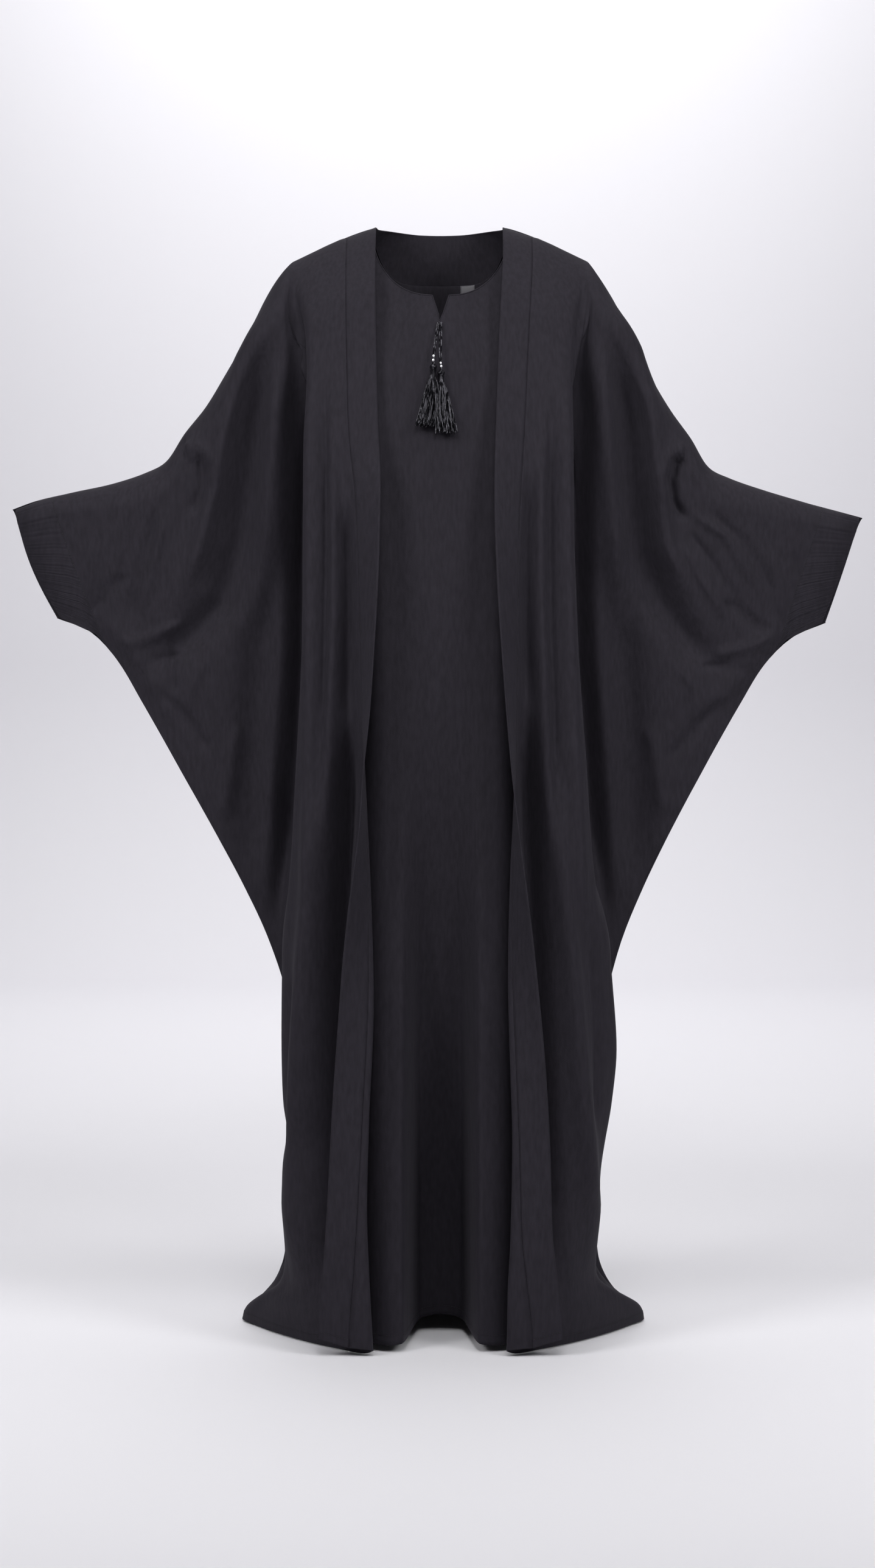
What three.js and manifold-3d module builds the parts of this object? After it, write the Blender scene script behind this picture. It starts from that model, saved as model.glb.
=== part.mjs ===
// A butterfly abaya as it is worn, with no wearer in it: an open outer dress whose wide sleeves are cut in
// one with its body, over a plain inner dress with a notched neck and two tassels.
// Millimetres, +Z up, the front faces -Y, and +X is to the right of someone who looks at the front.
// The origin is midway between the two side neck points, on the shoulder line that carries the garment.
// "Right" and "left" are the wearer's, so the right side has x below zero. "out" is the distance from the
// middle plane, and a grid's columns run from the middle outwards, its rows from the top to the hem.

import * as THREE from "three";
import { mergeVertices } from "three/addons/utils/BufferGeometryUtils.js";
import Module from "manifold-3d";

const CLOTH = 1.6; // wall of every cloth piece
const SEAM_GAP = 0.3; // between two pieces along a seam
const FLOOR = -1436; // where the hem touches down
const HEM_Z = FLOOR + CLOTH; // middle of the wall at the hem
const SHOULDER_ROUND = 110; // the cloth has turned from the shoulder to the chest or back this far down
const SHOULDER = { out: 190, z: -44 }; // shoulder point, where the body ends and the sleeve begins
const SHOULDER_CURVE = 1.25; // the shoulder line falls a little faster towards its point
const NECK = { half: 83, back: 85, backRise: 6 }; // outer dress: side neck point and back neck
const BAND_WIDTH = 38;
const FLAP_HEM_RISE = { seam: 9, edge: 20 }; // the rolled-back front edge hangs clear of the floor
const SLEEVE_ROUND = 4; // half depth of the cloth just above a sleeve seam
const CUFF_BACK_OUT = 5; // the back of a cuff reaches this far past its front
const CUFF_BOW = { right: 8, left: 1 }; // the edge of a cuff bows out this far between its ends
const ROLL = { least: 7, back: 9, behind: 10 }; // the front's cloth past its band's seam, and behind it
// The inner dress's neck: its side points, and a back that runs level and rises close to them.
const INNER_NECK = { half: 88, z: -10, backDepth: 96, backZ: -59, flatness: 6, fullness: 0.7 };
const INNER_SHOULDER_ROUND = 80;
const NOTCH = { corner: 11, cornerZ: -101, tip: -1.5, tipZ: -136 };

const mix = (a, b, t) => a + (b - a) * t;
const clamp = (t) => Math.min(1, Math.max(0, t));
const smooth = (t) => clamp(t) ** 2 * (3 - 2 * clamp(t));
const quarterRound = (t) => Math.sqrt(1 - (1 - clamp(t)) ** 2);
const radians = (degrees) => (degrees * Math.PI) / 180;
const table = (names, rows) => rows.map((row) => Object.fromEntries(names.map((name, i) => [name, row[i]])));

// The height of the shoulder seam: from zero at the side neck point down to the shoulder point.
function shoulderLine(out) {
  const along = clamp((out - NECK.half) / (SHOULDER.out - NECK.half));
  return SHOULDER.z * along ** SHOULDER_CURVE;
}

// The inner dress's shoulder point lies just under the outer one's shoulder seam.
const INNER_SHOULDER = { out: 148, z: shoulderLine(148) - CLOTH - SEAM_GAP };

// A table's column at a height between its rows, on a smooth curve. Rows go down from the top.
function atHeight(rows, column, z) {
  const last = rows.length - 1;
  const depth = clamp((rows[0].z - z) / (rows[0].z - rows[last].z)) * (rows[0].z - rows[last].z);
  const down = rows.map((row) => rows[0].z - row.z);
  let i = 0;
  while (i < last - 1 && down[i + 1] < depth) i += 1;
  const slope = (k) => {
    const [a, b] = [Math.max(0, k - 1), Math.min(last, k + 1)];
    return (rows[b][column] - rows[a][column]) / (down[b] - down[a]);
  };
  const span = down[i + 1] - down[i];
  const t = (depth - down[i]) / span;
  const bend = slope(i) * t * (1 - t) ** 2 - slope(i + 1) * t * t * (1 - t);
  return mix(rows[i][column], rows[i + 1][column], smooth(t)) + span * bend;
}

// A point a share t of the way along an outline.
function outline(rows) {
  const curve = new THREE.CatmullRomCurve3(
    rows.map((row) => new THREE.Vector3(row.out, row.y ?? 0, row.z)),
    false,
    "centripetal",
  );
  curve.arcLengthDivisions = 400;
  return (t) => curve.getPointAt(clamp(t));
}

// The overarm seam: from the shoulder point over the elbow to the top of the cuff.
const OVERARM = {
  right: outline(
    table(
      ["out", "z"],
      [
        [190, -44], [211, -68], [227, -92], [250, -139], [277, -187], [306, -235],
        [344, -283], [358, -306], [416, -331], [516, -354], [554, -368],
      ],
    ),
  ),
  left: outline(
    table(
      ["out", "z"],
      [
        [190, -44], [208, -68], [224, -92], [245, -139], [269, -187], [297, -235],
        [331, -283], [347, -311], [381, -329], [456, -353], [546, -379],
      ],
    ),
  ),
};
// From the hem up the side seam, then along the underarm curve to the lower end of the cuff.
const UNDERARM = {
  right: outline(table(["out", "y", "z"], [
    [252, 98, HEM_Z], [246, 88, -1422], [222, 64, -1396], [198, 42, -1352], [186, 26, -1250],
    [183, 14, -1150], [190, 5, -1060], [205, 0, -983], [235, 0, -903], [284, 0, -807], [337, 0, -712],
    [391, 0, -616], [434, 0, -547], [463, 0, -521], [486, 0, -516], [496, 0, -509],
  ])),
  left: outline(table(["out", "y", "z"], [
    [256, 98, HEM_Z], [250, 88, -1422], [224, 64, -1396], [198, 42, -1352], [188, 26, -1250],
    [192, 14, -1150], [206, 5, -1060], [224, 0, -968], [250, 0, -894], [290, 0, -807], [340, 0, -712],
    [394, 0, -616], [438, 0, -549], [462, 0, -531], [490, 0, -521], [498, 0, -515],
  ])),
};
// The sleeve's columns, as shares of the overarm seam and of the side seam with the underarm curve.
const SLEEVE_COLUMNS = table(["top", "foot"], [
  [0.01, 0], [0.024, 0.08], [0.045, 0.16], [0.08, 0.25], [0.125, 0.35], [0.18, 0.44], [0.25, 0.52],
  [0.34, 0.59], [0.43, 0.65], [0.515, 0.7], [0.602, 0.747], [0.66, 0.79], [0.75, 0.85], [0.85, 0.905],
  [0.94, 0.955], [1, 1],
]);
const STRIP_START = 0.07; // how far round the side the sleeve's first column stands
const STRIP_END = 0.5; // how far round the side the sleeve's columns still follow the body's edge

// The seam between the front and its band, and the way the band points: 0 to the middle, 90 forwards and
// 180 outwards, rolled back. "roll" is how far the rolled cloth reaches past the seam to the middle.
const BAND_SEAM = {
  right: table(["z", "out", "y", "turn", "roll"], [
    [-13.8, 122, -50, 0, 0], [-61, 122, -62, 2, 0], [-113, 121, -82, 4, 0], [-200, 119, -101, 6, 0],
    [-285, 116, -112, 10, 0], [-359, 108, -120, 32, 0], [-451, 104, -126, 46, 0], [-537, 101, -131, 60, 0],
    [-635, 99, -136, 74, 0], [-708, 96, -140, 90, 1], [-790, 93, -147, 104, 3], [-900, 91, -157, 132, 6],
    [-1010, 91, -168, 158, 8], [-1133, 97, -178, 174, 12], [-1254, 103, -184, 178, 18],
    [-1323, 107, -186, 180, 22], [-1405, 113, -185, 180, 28], [HEM_Z, 114, -183, 180, 30],
  ]),
  left: table(["z", "out", "y", "turn", "roll"], [
    [-12.6, 119, -50, 0, 0], [-61, 118, -62, 4, 0], [-138, 113, -88, 6, 0], [-260, 107, -110, 14, 0],
    [-379, 100, -121, 32, 0], [-488, 97, -129, 48, 0], [-586, 96, -135, 62, 0], [-700, 94, -141, 80, 1],
    [-766, 92, -145, 94, 2], [-850, 90, -153, 114, 4], [-966, 90, -164, 140, 6], [-1079, 94, -174, 160, 10],
    [-1181, 98, -181, 172, 15], [-1293, 101, -186, 178, 21], [-1353, 107, -187, 180, 27],
    [-1410, 113, -186, 180, 32], [HEM_Z, 114, -184, 180, 33],
  ]),
};
// The edge of the body's front fold. Outside it the cloth drops back to the sleeve, and from the underarm
// down it is the garment's outline, which spreads on the floor at the hem.
const FRONT_EDGE = {
  right: table(["z", "out", "y"], [
    [-44, 190, -56], [-112, 188, -60], [-176, 184, -74], [-270, 176, -87], [-337, 173, -94],
    [-452, 173, -100], [-535, 180, -100], [-659, 189, -95], [-766, 195, -90], [-941, 201, -80],
    [-1063, 203, -72], [-1133, 200, -69], [-1180, 191, -67], [-1228, 192, -63], [-1290, 196, -58],
    [-1347, 200, -48], [-1375, 211, -32], [-1390, 230, -8], [-1409, 250, 28], [-1420, 258, 42],
    [HEM_Z, 262, 52],
  ]),
  left: table(["z", "out", "y"], [
    [-44, 190, -56], [-112, 181, -60], [-187, 174, -77], [-337, 176, -94], [-462, 185, -99],
    [-584, 195, -96], [-708, 205, -91], [-790, 209, -87], [-952, 217, -77], [-1063, 225, -70],
    [-1133, 219, -68], [-1180, 211, -66], [-1228, 202, -62], [-1262, 194, -60], [-1351, 198, -48],
    [-1370, 208, -36], [-1390, 234, -8], [-1409, 258, 28], [-1420, 266, 42], [HEM_Z, 269, 52],
  ]),
};
const BACK_EDGE = table(["z", "out", "y"], [
  [-44, 190, 56], [-112, 188, 62], [-200, 184, 82], [-337, 181, 94], [-535, 184, 96], [-766, 192, 97],
  [-983, 198, 98], [-1180, 190, 101], [-1290, 190, 106], [-1347, 192, 114], [-1385, 202, 126],
  [-1405, 220, 138], [-1422, 240, 152], [HEM_Z, 246, 160],
]);
const BACK_MIDDLE = table(["z", "y"], [
  [NECK.backRise, NECK.back], [-20, 93], [-60, 102], [-120, 112], [-200, 119], [-300, 121], [-450, 118],
  [-700, 122], [-983, 134], [-1200, 148], [-1340, 162], [-1400, 182], [-1424, 204], [HEM_Z, 222],
]);
// Half thickness of the sleeve round the arm, along the overarm seam.
const ARM_HALVES = [72, 60, 52, 48, 46, 45, 44, 38, 32, 26, 21];
// Over how much of the side the body's front or back joins the sleeve: a soft slope at the shoulder, at
// once below the chest, and a rounded side under the arm.
const JOIN = table(
  ["z", "reach"],
  [[-44, 0.5], [-140, 0.36], [-300, 0.17], [-860, 0.16], [-1060, 0.26], [HEM_Z, 0.26]],
);

// Where each row lies, as a share of a long column at the body and of a short one at the cuff.
const LONG_COLUMN = 1390;
const SHORT_COLUMN = 152;
const ROWS = table(["long", "short"], [
  [0, 0], [0.004, 0.03], [0.014, 0.09], [0.03, 0.17], [0.052, 0.25], [0.08, 0.33], [0.115, 0.4],
  [0.155, 0.46], [0.2, 0.52], [0.245, 0.57], [0.29, 0.615], [0.335, 0.655], [0.385, 0.695],
  [0.44, 0.735], [0.495, 0.77], [0.55, 0.8], [0.605, 0.83], [0.66, 0.855], [0.72, 0.88],
  [0.78, 0.905], [0.84, 0.93], [0.9, 0.95], [0.945, 0.968], [0.977, 0.982], [0.992, 0.991], [1, 1],
]);
const BODY_COLUMNS = [0.16, 0.33, 0.5, 0.67, 0.84];
const BACK_COLUMNS = [0, 0.15, 0.3, 0.44, 0.62, 0.8];
const BACK_NECK_SHARE = 0.44; // the back's columns up to this share begin at its neck

// Folds of the outer dress. A ridge has height above zero, a trough below, and a path goes down the fold
// in steps of out and z.
const FRONT_FOLDS = {
  right: [
    {
      height: -24,
      width: 13,
      path: [[186, -110], [190, -210], [192, -305], [190, -431], [194, -557], [212, -800]],
    },
    { height: 11, width: 20, path: [[195, -107], [200, -207], [222, -332], [230, -432], [250, -540]] },
    {
      height: -17,
      width: 24,
      path: [[243, -182], [255, -307], [268, -407], [298, -508], [323, -582], [383, -590]],
    },
    {
      height: 14,
      width: 22,
      path: [[261, -197], [273, -262], [288, -332], [303, -407], [328, -483], [362, -548]],
    },
    { height: -10, width: 15, path: [[322, -296], [324, -345], [334, -400]] },
    { height: 7, width: 12, path: [[340, -330], [352, -400], [382, -470]] },
    { height: -6, width: 14, path: [[368, -386], [376, -430], [398, -500]] },
    { height: 6, width: 16, path: [[340, -645], [395, -560], [440, -500]] },
    {
      height: 8,
      width: 12,
      path: [[158, -160], [156, -420], [166, -760], [170, -1010], [178, -1180], [176, -1330]],
    },
    { height: -9, width: 9, path: [[146, -330], [142, -560], [150, -800], [156, -960]] },
    { height: 6, width: 9, path: [[131, -200], [128, -480], [132, -800], [136, -940]] },
    { height: -20, width: 12, path: [[128, -800], [140, -980], [150, -1140], [152, -1320]] },
  ],
  left: [
    {
      height: -24,
      width: 13,
      path: [[184, -110], [187, -210], [188, -331], [198, -482], [204, -632], [217, -810]],
    },
    { height: 11, width: 20, path: [[194, -107], [208, -280], [224, -432], [234, -550]] },
    {
      height: -18,
      width: 24,
      path: [[240, -182], [255, -307], [270, -407], [286, -483], [305, -557], [341, -628]],
    },
    { height: 14, width: 22, path: [[265, -232], [276, -332], [296, -407], [316, -483], [366, -567]] },
    { height: -11, width: 15, path: [[306, -286], [300, -340], [304, -400]] },
    { height: 7, width: 12, path: [[326, -330], [330, -400], [356, -480]] },
    { height: -6, width: 14, path: [[352, -390], [372, -440], [402, -500]] },
    { height: 6, width: 16, path: [[346, -640], [400, -566], [444, -505]] },
    {
      height: 8,
      width: 12,
      path: [[152, -160], [158, -420], [172, -760], [184, -1010], [190, -1180], [178, -1330]],
    },
    { height: -9, width: 9, path: [[138, -330], [142, -560], [154, -800], [164, -960]] },
    { height: 6, width: 9, path: [[124, -200], [124, -480], [132, -800], [140, -940]] },
    { height: -19, width: 12, path: [[122, -800], [134, -980], [146, -1140], [150, -1320]] },
  ],
};
const BACK_FOLDS = {
  right: [
    { height: 12, width: 22, path: [[232, -240], [244, -380], [262, -500], [300, -590]] },
    { height: -14, width: 22, path: [[272, -210], [290, -340], [316, -450], [372, -540]] },
    { height: 8, width: 18, path: [[318, -300], [344, -400], [398, -480]] },
    { height: -20, width: 20, path: [[148, -330], [142, -620], [136, -1000], [150, -1350]] },
    { height: 16, width: 18, path: [[108, -260], [102, -620], [92, -1000], [98, -1400]] },
    { height: -12, width: 18, path: [[66, -380], [58, -700], [48, -1040], [52, -1400]] },
    { height: 14, width: 18, path: [[24, -300], [14, -700], [8, -1100], [2, -1420]] },
  ],
  left: [
    { height: 12, width: 22, path: [[226, -230], [248, -390], [266, -510], [306, -600]] },
    { height: -13, width: 22, path: [[266, -220], [286, -350], [320, -460], [368, -530]] },
    { height: 8, width: 18, path: [[312, -310], [350, -410], [392, -470]] },
    { height: -19, width: 20, path: [[156, -300], [146, -600], [146, -1000], [140, -1350]] },
    { height: 18, width: 18, path: [[116, -280], [110, -640], [104, -1040], [86, -1410]] },
    { height: -13, width: 18, path: [[72, -340], [68, -700], [60, -1080], [42, -1380]] },
  ],
};

// The inner dress, by height: depth of its middle and of the fold on each side of it, where that fold
// stands, and its side. The folds stand out from a deep hollow that opens between them towards the hem.
const INNER_FRONT = table(["z", "middle", "fold", "foldOut"], [
  [-10, -46, -32, 80], [-100, -74, -60, 80], [-136, -88, -75, 80], [-200, -101, -94, 80],
  [-285, -109, -103, 78], [-400, -111, -107, 72], [-560, -111, -114, 68], [-760, -104, -122, 66],
  [-1000, -88, -133, 64], [-1190, -66, -144, 62], [-1300, -50, -150, 61], [HEM_Z, -40, -155, 60],
]);
const INNER_BACK = table(["z", "middle"], [
  [-10, 84], [-56, 91], [-120, 102], [-200, 109], [-300, 110], [-450, 106], [-700, 104], [-1000, 106],
  [-1300, 110], [HEM_Z, 112],
]);
// Its side: the armhole from the shoulder down to the underarm, with a front and a back edge, then the seam.
const INNER_SIDE = table(["z", "out", "front", "back"], [
  [-10, 148, -6, 6], [-60, 138, -26, 22], [-120, 134, -38, 34], [-180, 142, -28, 24], [-236, 154, 0, 0],
  [-300, 156, 0, 0], [-450, 151, 0, 0], [-700, 151, 0, 0], [-1000, 154, 0, 0], [-1300, 158, 0, 0],
  [HEM_Z, 160, 0, 0],
]);
const INNER_HEM = { middle: -1413, fold: -1428, side: -1420 };
const INNER_ROWS = [
  0, 0.012, 0.03, 0.055, 0.09, 0.13, 0.18, 0.24, 0.3, 0.36,
  0.43, 0.5, 0.57, 0.64, 0.71, 0.78, 0.85, 0.91, 0.96, 1,
];
const INNER_FRONT_COLUMNS = [0, 0.07, 0.15, 0.23, 0.32, 0.42, 0.52, 0.64, 0.76, 0.88, 1];
const INNER_BACK_COLUMNS = [0, 0.2, 0.4, 0.58, 0.76, 0.9, 1];
const INNER_NECK_SHARE = 0.58; // the inner dress's columns up to this share begin at its neck
const NOTCH_SHARE = 0.07;
const ARMHOLE_FOOT = -235;
const FOLD_START = 12; // the inner front's hollow is level this far out from the middle
const LABEL = { from: 0.115, to: 0.205, height: 18, thickness: 1 }; // from and to are shares of the back
const CORD = { radius: 0.7, steps: 9 };
// Two cords, each doubled, hang from the notch to the tassels.
const CORD_ROUTES = {
  right_outer: [[-4.2, -90.6, -138], [-6.2, -96, -152], [-8.6, -103.5, -172], [-10.3, -108.2, -193.6]],
  right_inner: [[-2.4, -90.6, -138], [-4, -96, -152], [-6.6, -103.5, -172], [-8.5, -108.2, -193.6]],
  left_inner: [[-0.6, -90.6, -138], [-1.2, -96, -152], [-1.6, -103.5, -174], [-0.4, -109, -201.4]],
  left_outer: [[1.2, -90.6, -138], [1.2, -96, -152], [0.8, -103.5, -174], [1.4, -109, -201.4]],
};
const TASSEL_HEAD = table(["radius", "z"], [
  [0, 0], [2.6, -0.8], [4.4, -4], [3, -7.4], [4.6, -9.4], [5.4, -14], [4.4, -18], [0, -18],
]);
const TASSEL = {
  right: { x: -9.4, y: -108.4, top: -194, tipX: -10.5, tipY: -10, length: 78 },
  left: { x: 0.5, y: -109.2, top: -201.8, tipX: 6, tipY: -9, length: 80 },
};
const TASSEL_STRANDS = { count: 36, root: 3.4, tipX: 13, tipY: 6.5, rise: 2, radius: 0.6, sides: 3 };
const TASSEL_HEAD_SIDES = 10;
const GOLDEN_ANGLE = Math.PI * (3 - Math.sqrt(5));
const BAND_COLUMNS = [0, 0.5, 1];
const OUTER_COLOR = 0x242227;
const INNER_COLOR = 0x232126;

// How high a fold lifts the cloth at (out, z): full on its path, fading over its width and at both ends.
function foldHeight(fold, out, z) {
  const legs = fold.path.slice(1).map(([toOut, toZ], i) => {
    const [fromOut, fromZ] = fold.path[i];
    return { fromOut, fromZ, toOut, toZ, length: Math.hypot(toOut - fromOut, toZ - fromZ) };
  });
  const total = legs.reduce((sum, leg) => sum + leg.length, 0);
  let nearest = Infinity;
  let along = 0;
  let before = 0;
  for (const leg of legs) {
    const across = (out - leg.fromOut) * (leg.toOut - leg.fromOut) + (z - leg.fromZ) * (leg.toZ - leg.fromZ);
    const t = clamp(across / leg.length ** 2);
    const gap = Math.hypot(out - mix(leg.fromOut, leg.toOut, t), z - mix(leg.fromZ, leg.toZ, t));
    if (gap < nearest) {
      nearest = gap;
      along = (before + t * leg.length) / total;
    }
    before += leg.length;
  }
  const ends = smooth(along / 0.2) * smooth((1 - along) / 0.2);
  return fold.height * Math.exp(-((nearest / fold.width) ** 2)) * ends;
}

// The front or back edge of the body at a height.
function bodyEdge(rows, z) {
  const over = quarterRound((SHOULDER.z - z) / SHOULDER_ROUND);
  return new THREE.Vector3(atHeight(rows, "out", z), atHeight(rows, "y", z) * over, z);
}

const edgeColumn = (rows, facing) =>
  ROWS.map((row, i) => {
    const point = bodyEdge(rows, mix(SHOULDER.z, HEM_Z, row.long));
    if (i === 0) point.y = (facing * SEAM_GAP) / 2;
    return point;
  });

// The normal of a wall where it meets its neighbour along a seam: square to the seam and away from the
// middle, with no y in it.
function seamNormal(seam, share) {
  const along = seam(share + 0.004).sub(seam(share - 0.004));
  return new THREE.Vector3(Math.abs(along.z), 0, -along.x * Math.sign(along.z)).normalize();
}

// One column of the sleeve, from the overarm seam down to the underarm curve or the side seam. facing is
// -1 for the front and 1 for the back.
function sleeveColumn(side, facing, shares, edgeRows) {
  const top = OVERARM[side](shares.top);
  const foot = UNDERARM[side](shares.foot);
  const length = Math.hypot(foot.x - top.x, foot.z - top.z);
  const longness = clamp((length - SHORT_COLUMN) / (LONG_COLUMN - SHORT_COLUMN));
  const place = shares.top * (ARM_HALVES.length - 1);
  const whole = Math.min(ARM_HALVES.length - 2, Math.floor(place));
  const half = mix(ARM_HALVES[whole], ARM_HALVES[whole + 1], place - whole);
  const round = Math.min(half, 0.4 * length);
  const roundSide = STRIP_START + (1 - STRIP_START) * shares.foot;
  const beside = 1 - smooth(roundSide / STRIP_END);
  const atCuff = smooth((shares.top - 0.85) / 0.15);
  const cuff = facing > 0 ? CUFF_BACK_OUT * atCuff : 0;
  const hemOut = UNDERARM[side](0).x;
  const hang = (share, swell) => {
    const z = mix(top.z, foot.z, share);
    const edge = bodyEdge(edgeRows, z);
    const straightOut = mix(SHOULDER.out, hemOut, (SHOULDER.z - z) / (SHOULDER.z - HEM_Z));
    const out = mix(top.x, foot.x, share) + beside * (edge.x - straightOut);
    const fallen = clamp((share * length - round) / (length - round));
    const lift = quarterRound((share * length) / round) * mix(half, SLEEVE_ROUND, fallen);
    const free = facing * lift * swell + foot.y * share ** 8;
    const y = mix(edge.y, free, smooth(roundSide / atHeight(JOIN, "reach", z)));
    return new THREE.Vector3(out, y, z);
  };
  const miss = hang(1, 0).sub(foot);
  const column = ROWS.map((row, i) => {
    const share = mix(row.short, row.long, longness);
    const point = hang(share, 1);
    point.x -= miss.x * smooth((share - 0.5) / 0.5);
    point.y -= miss.y * share ** 8;
    if (i === 0) point.set(top.x, (facing * SEAM_GAP) / 2, top.z);
    if (i === ROWS.length - 1) point.set(foot.x, foot.y + (facing * SEAM_GAP) / 2, foot.z);
    point.x += cuff + CUFF_BOW[side] * atCuff * Math.sin(Math.PI * share);
    return point;
  });
  column.ends = { top: seamNormal(OVERARM[side], shares.top), foot: seamNormal(UNDERARM[side], shares.foot) };
  return column;
}

// The band's seam and the direction of the band from it, at a height.
function bandFrame(side, z) {
  const rows = BAND_SEAM[side];
  const turn = radians(atHeight(rows, "turn", z));
  const over = quarterRound((rows[0].z - z) / SHOULDER_ROUND);
  const seam = { out: atHeight(rows, "out", z), y: atHeight(rows, "y", z) * over };
  return { seam, turn, roll: atHeight(rows, "roll", z) };
}

// The front's columns beside its band: the seam, the turn of the roll, and the cloth behind it.
function rollColumns(side) {
  const columns = [[], [], [], []];
  ROWS.forEach((row, i) => {
    const z = mix(BAND_SEAM[side][0].z, HEM_Z, row.long);
    const rise = row.long ** 8 * FLAP_HEM_RISE.seam;
    const { seam, turn, roll } = bandFrame(side, z);
    const gap = SEAM_GAP / 2;
    const reach = Math.max(ROLL.least, roll);
    const tip = { out: seam.out + reach * Math.cos(turn), y: seam.y + reach * Math.sin(turn) };
    const back = { out: tip.out + ROLL.back * Math.cos(turn / 2), y: tip.y + ROLL.back * Math.sin(turn / 2) };
    const behind = {
      out: back.out + ROLL.behind * Math.cos(turn / 8),
      y: back.y + ROLL.behind * Math.sin(turn / 8),
    };
    const places = [
      { out: seam.out + gap * Math.cos(turn), y: seam.y + gap * Math.sin(turn) },
      tip,
      back,
      behind,
    ];
    places.forEach((place, k) => {
      const y = i === 0 ? -SEAM_GAP / 2 : place.y;
      const column = columns[k];
      const start = k === 0 ? BAND_SEAM[side][0].z : shoulderLine(place.out);
      const top = i === 0 ? start : column[0].z;
      const level = mix(top, HEM_Z, row.long);
      column.push(new THREE.Vector3(place.out, y, level + rise * (1 - k / 3)));
    });
  });
  return columns;
}

// The front from its band's seam to the cuff, as columns of points in out, y and z.
function frontColumns(side) {
  const edge = edgeColumn(FRONT_EDGE[side], -1);
  const roll = rollColumns(side);
  const start = roll[3];
  const body = BODY_COLUMNS.map((b) =>
    ROWS.map((row, i) => {
      const roundness = mix(0.6, 0.3, smooth((row.long - 0.9) / 0.1));
      const outShare = mix(b, Math.sin((b * Math.PI) / 2), roundness);
      const backShare = mix(b, 1 - Math.cos((b * Math.PI) / 2), roundness);
      return new THREE.Vector3(
        mix(start[i].x, edge[i].x, outShare),
        mix(start[i].y, edge[i].y, backShare),
        mix(start[i].z, edge[i].z, outShare),
      );
    }),
  );
  const sleeve = SLEEVE_COLUMNS.map((shares) => sleeveColumn(side, -1, shares, FRONT_EDGE[side]));
  return [...roll, ...body, edge, ...sleeve];
}

// One half of the back from its middle to the cuff.
function backColumns(side) {
  const edge = edgeColumn(BACK_EDGE, 1);
  const body = BACK_COLUMNS.map((share) => {
    const atNeck = share <= BACK_NECK_SHARE;
    const angle = (Math.min(1, share / BACK_NECK_SHARE) * Math.PI) / 2;
    const fromNeck = (share - BACK_NECK_SHARE) / (1 - BACK_NECK_SHARE);
    const neckTop = {
      out: NECK.half * Math.sin(angle),
      y: NECK.back * Math.cos(angle),
      z: NECK.backRise * Math.cos(angle) ** 2,
    };
    const shoulderTop = {
      out: mix(NECK.half, SHOULDER.out, fromNeck),
      y: 0,
      z: SHOULDER.z * fromNeck ** SHOULDER_CURVE,
    };
    const top = atNeck ? neckTop : shoulderTop;
    return ROWS.map((row, i) => {
      const z = mix(top.z, HEM_Z, row.long);
      const over = quarterRound((top.z - z) / SHOULDER_ROUND);
      const edgeY = atHeight(BACK_EDGE, "y", z);
      const out = edge[i].x * mix(share, Math.sin((share * Math.PI) / 2), 0.5);
      const middleShare = mix(1 - share, Math.cos((share * Math.PI) / 2), 0.6);
      const y = mix(edgeY, atHeight(BACK_MIDDLE, "y", z), middleShare);
      const gap = i === 0 ? SEAM_GAP / 2 : 0;
      return new THREE.Vector3(mix(top.out, out, over), mix(top.y, y, over) + gap, z);
    });
  });
  const sleeve = SLEEVE_COLUMNS.map((shares) => sleeveColumn(side, 1, shares, BACK_EDGE));
  return [...body, edge, ...sleeve];
}

// The surface's normal at each point of a grid, pointing to the side given by "outwards".
function gridNormals(grid, outwards) {
  const last = grid.length - 1;
  const foot = grid[0].length - 1;
  return grid.map((column, i) =>
    column.map((_, j) => {
      const across = grid[Math.min(last, i + 1)][j].clone().sub(grid[Math.max(0, i - 1)][j]);
      const down = column[Math.min(foot, j + 1)].clone().sub(column[Math.max(0, j - 1)]);
      return down.cross(across).multiplyScalar(outwards).normalize();
    }),
  );
}

// The folds of one side laid on a grid in out, y and z. They fade at the seams so that the pieces meet.
function laidFolds(grid, folds, outwards) {
  const normals = gridNormals(grid, outwards);
  const last = grid.length - 1;
  return grid.map((column, i) => {
    const laid = column.map((point, j) => {
      const fromEnds = Math.min(j, column.length - 1 - j, last - i) > 0 ? 1 : 0;
      const lift = folds.reduce((sum, fold) => sum + foldHeight(fold, point.x, point.z), 0);
      return point.clone().addScaledVector(normals[i][j], lift * fromEnds);
    });
    laid.ends = column.ends;
    return laid;
  });
}

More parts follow.
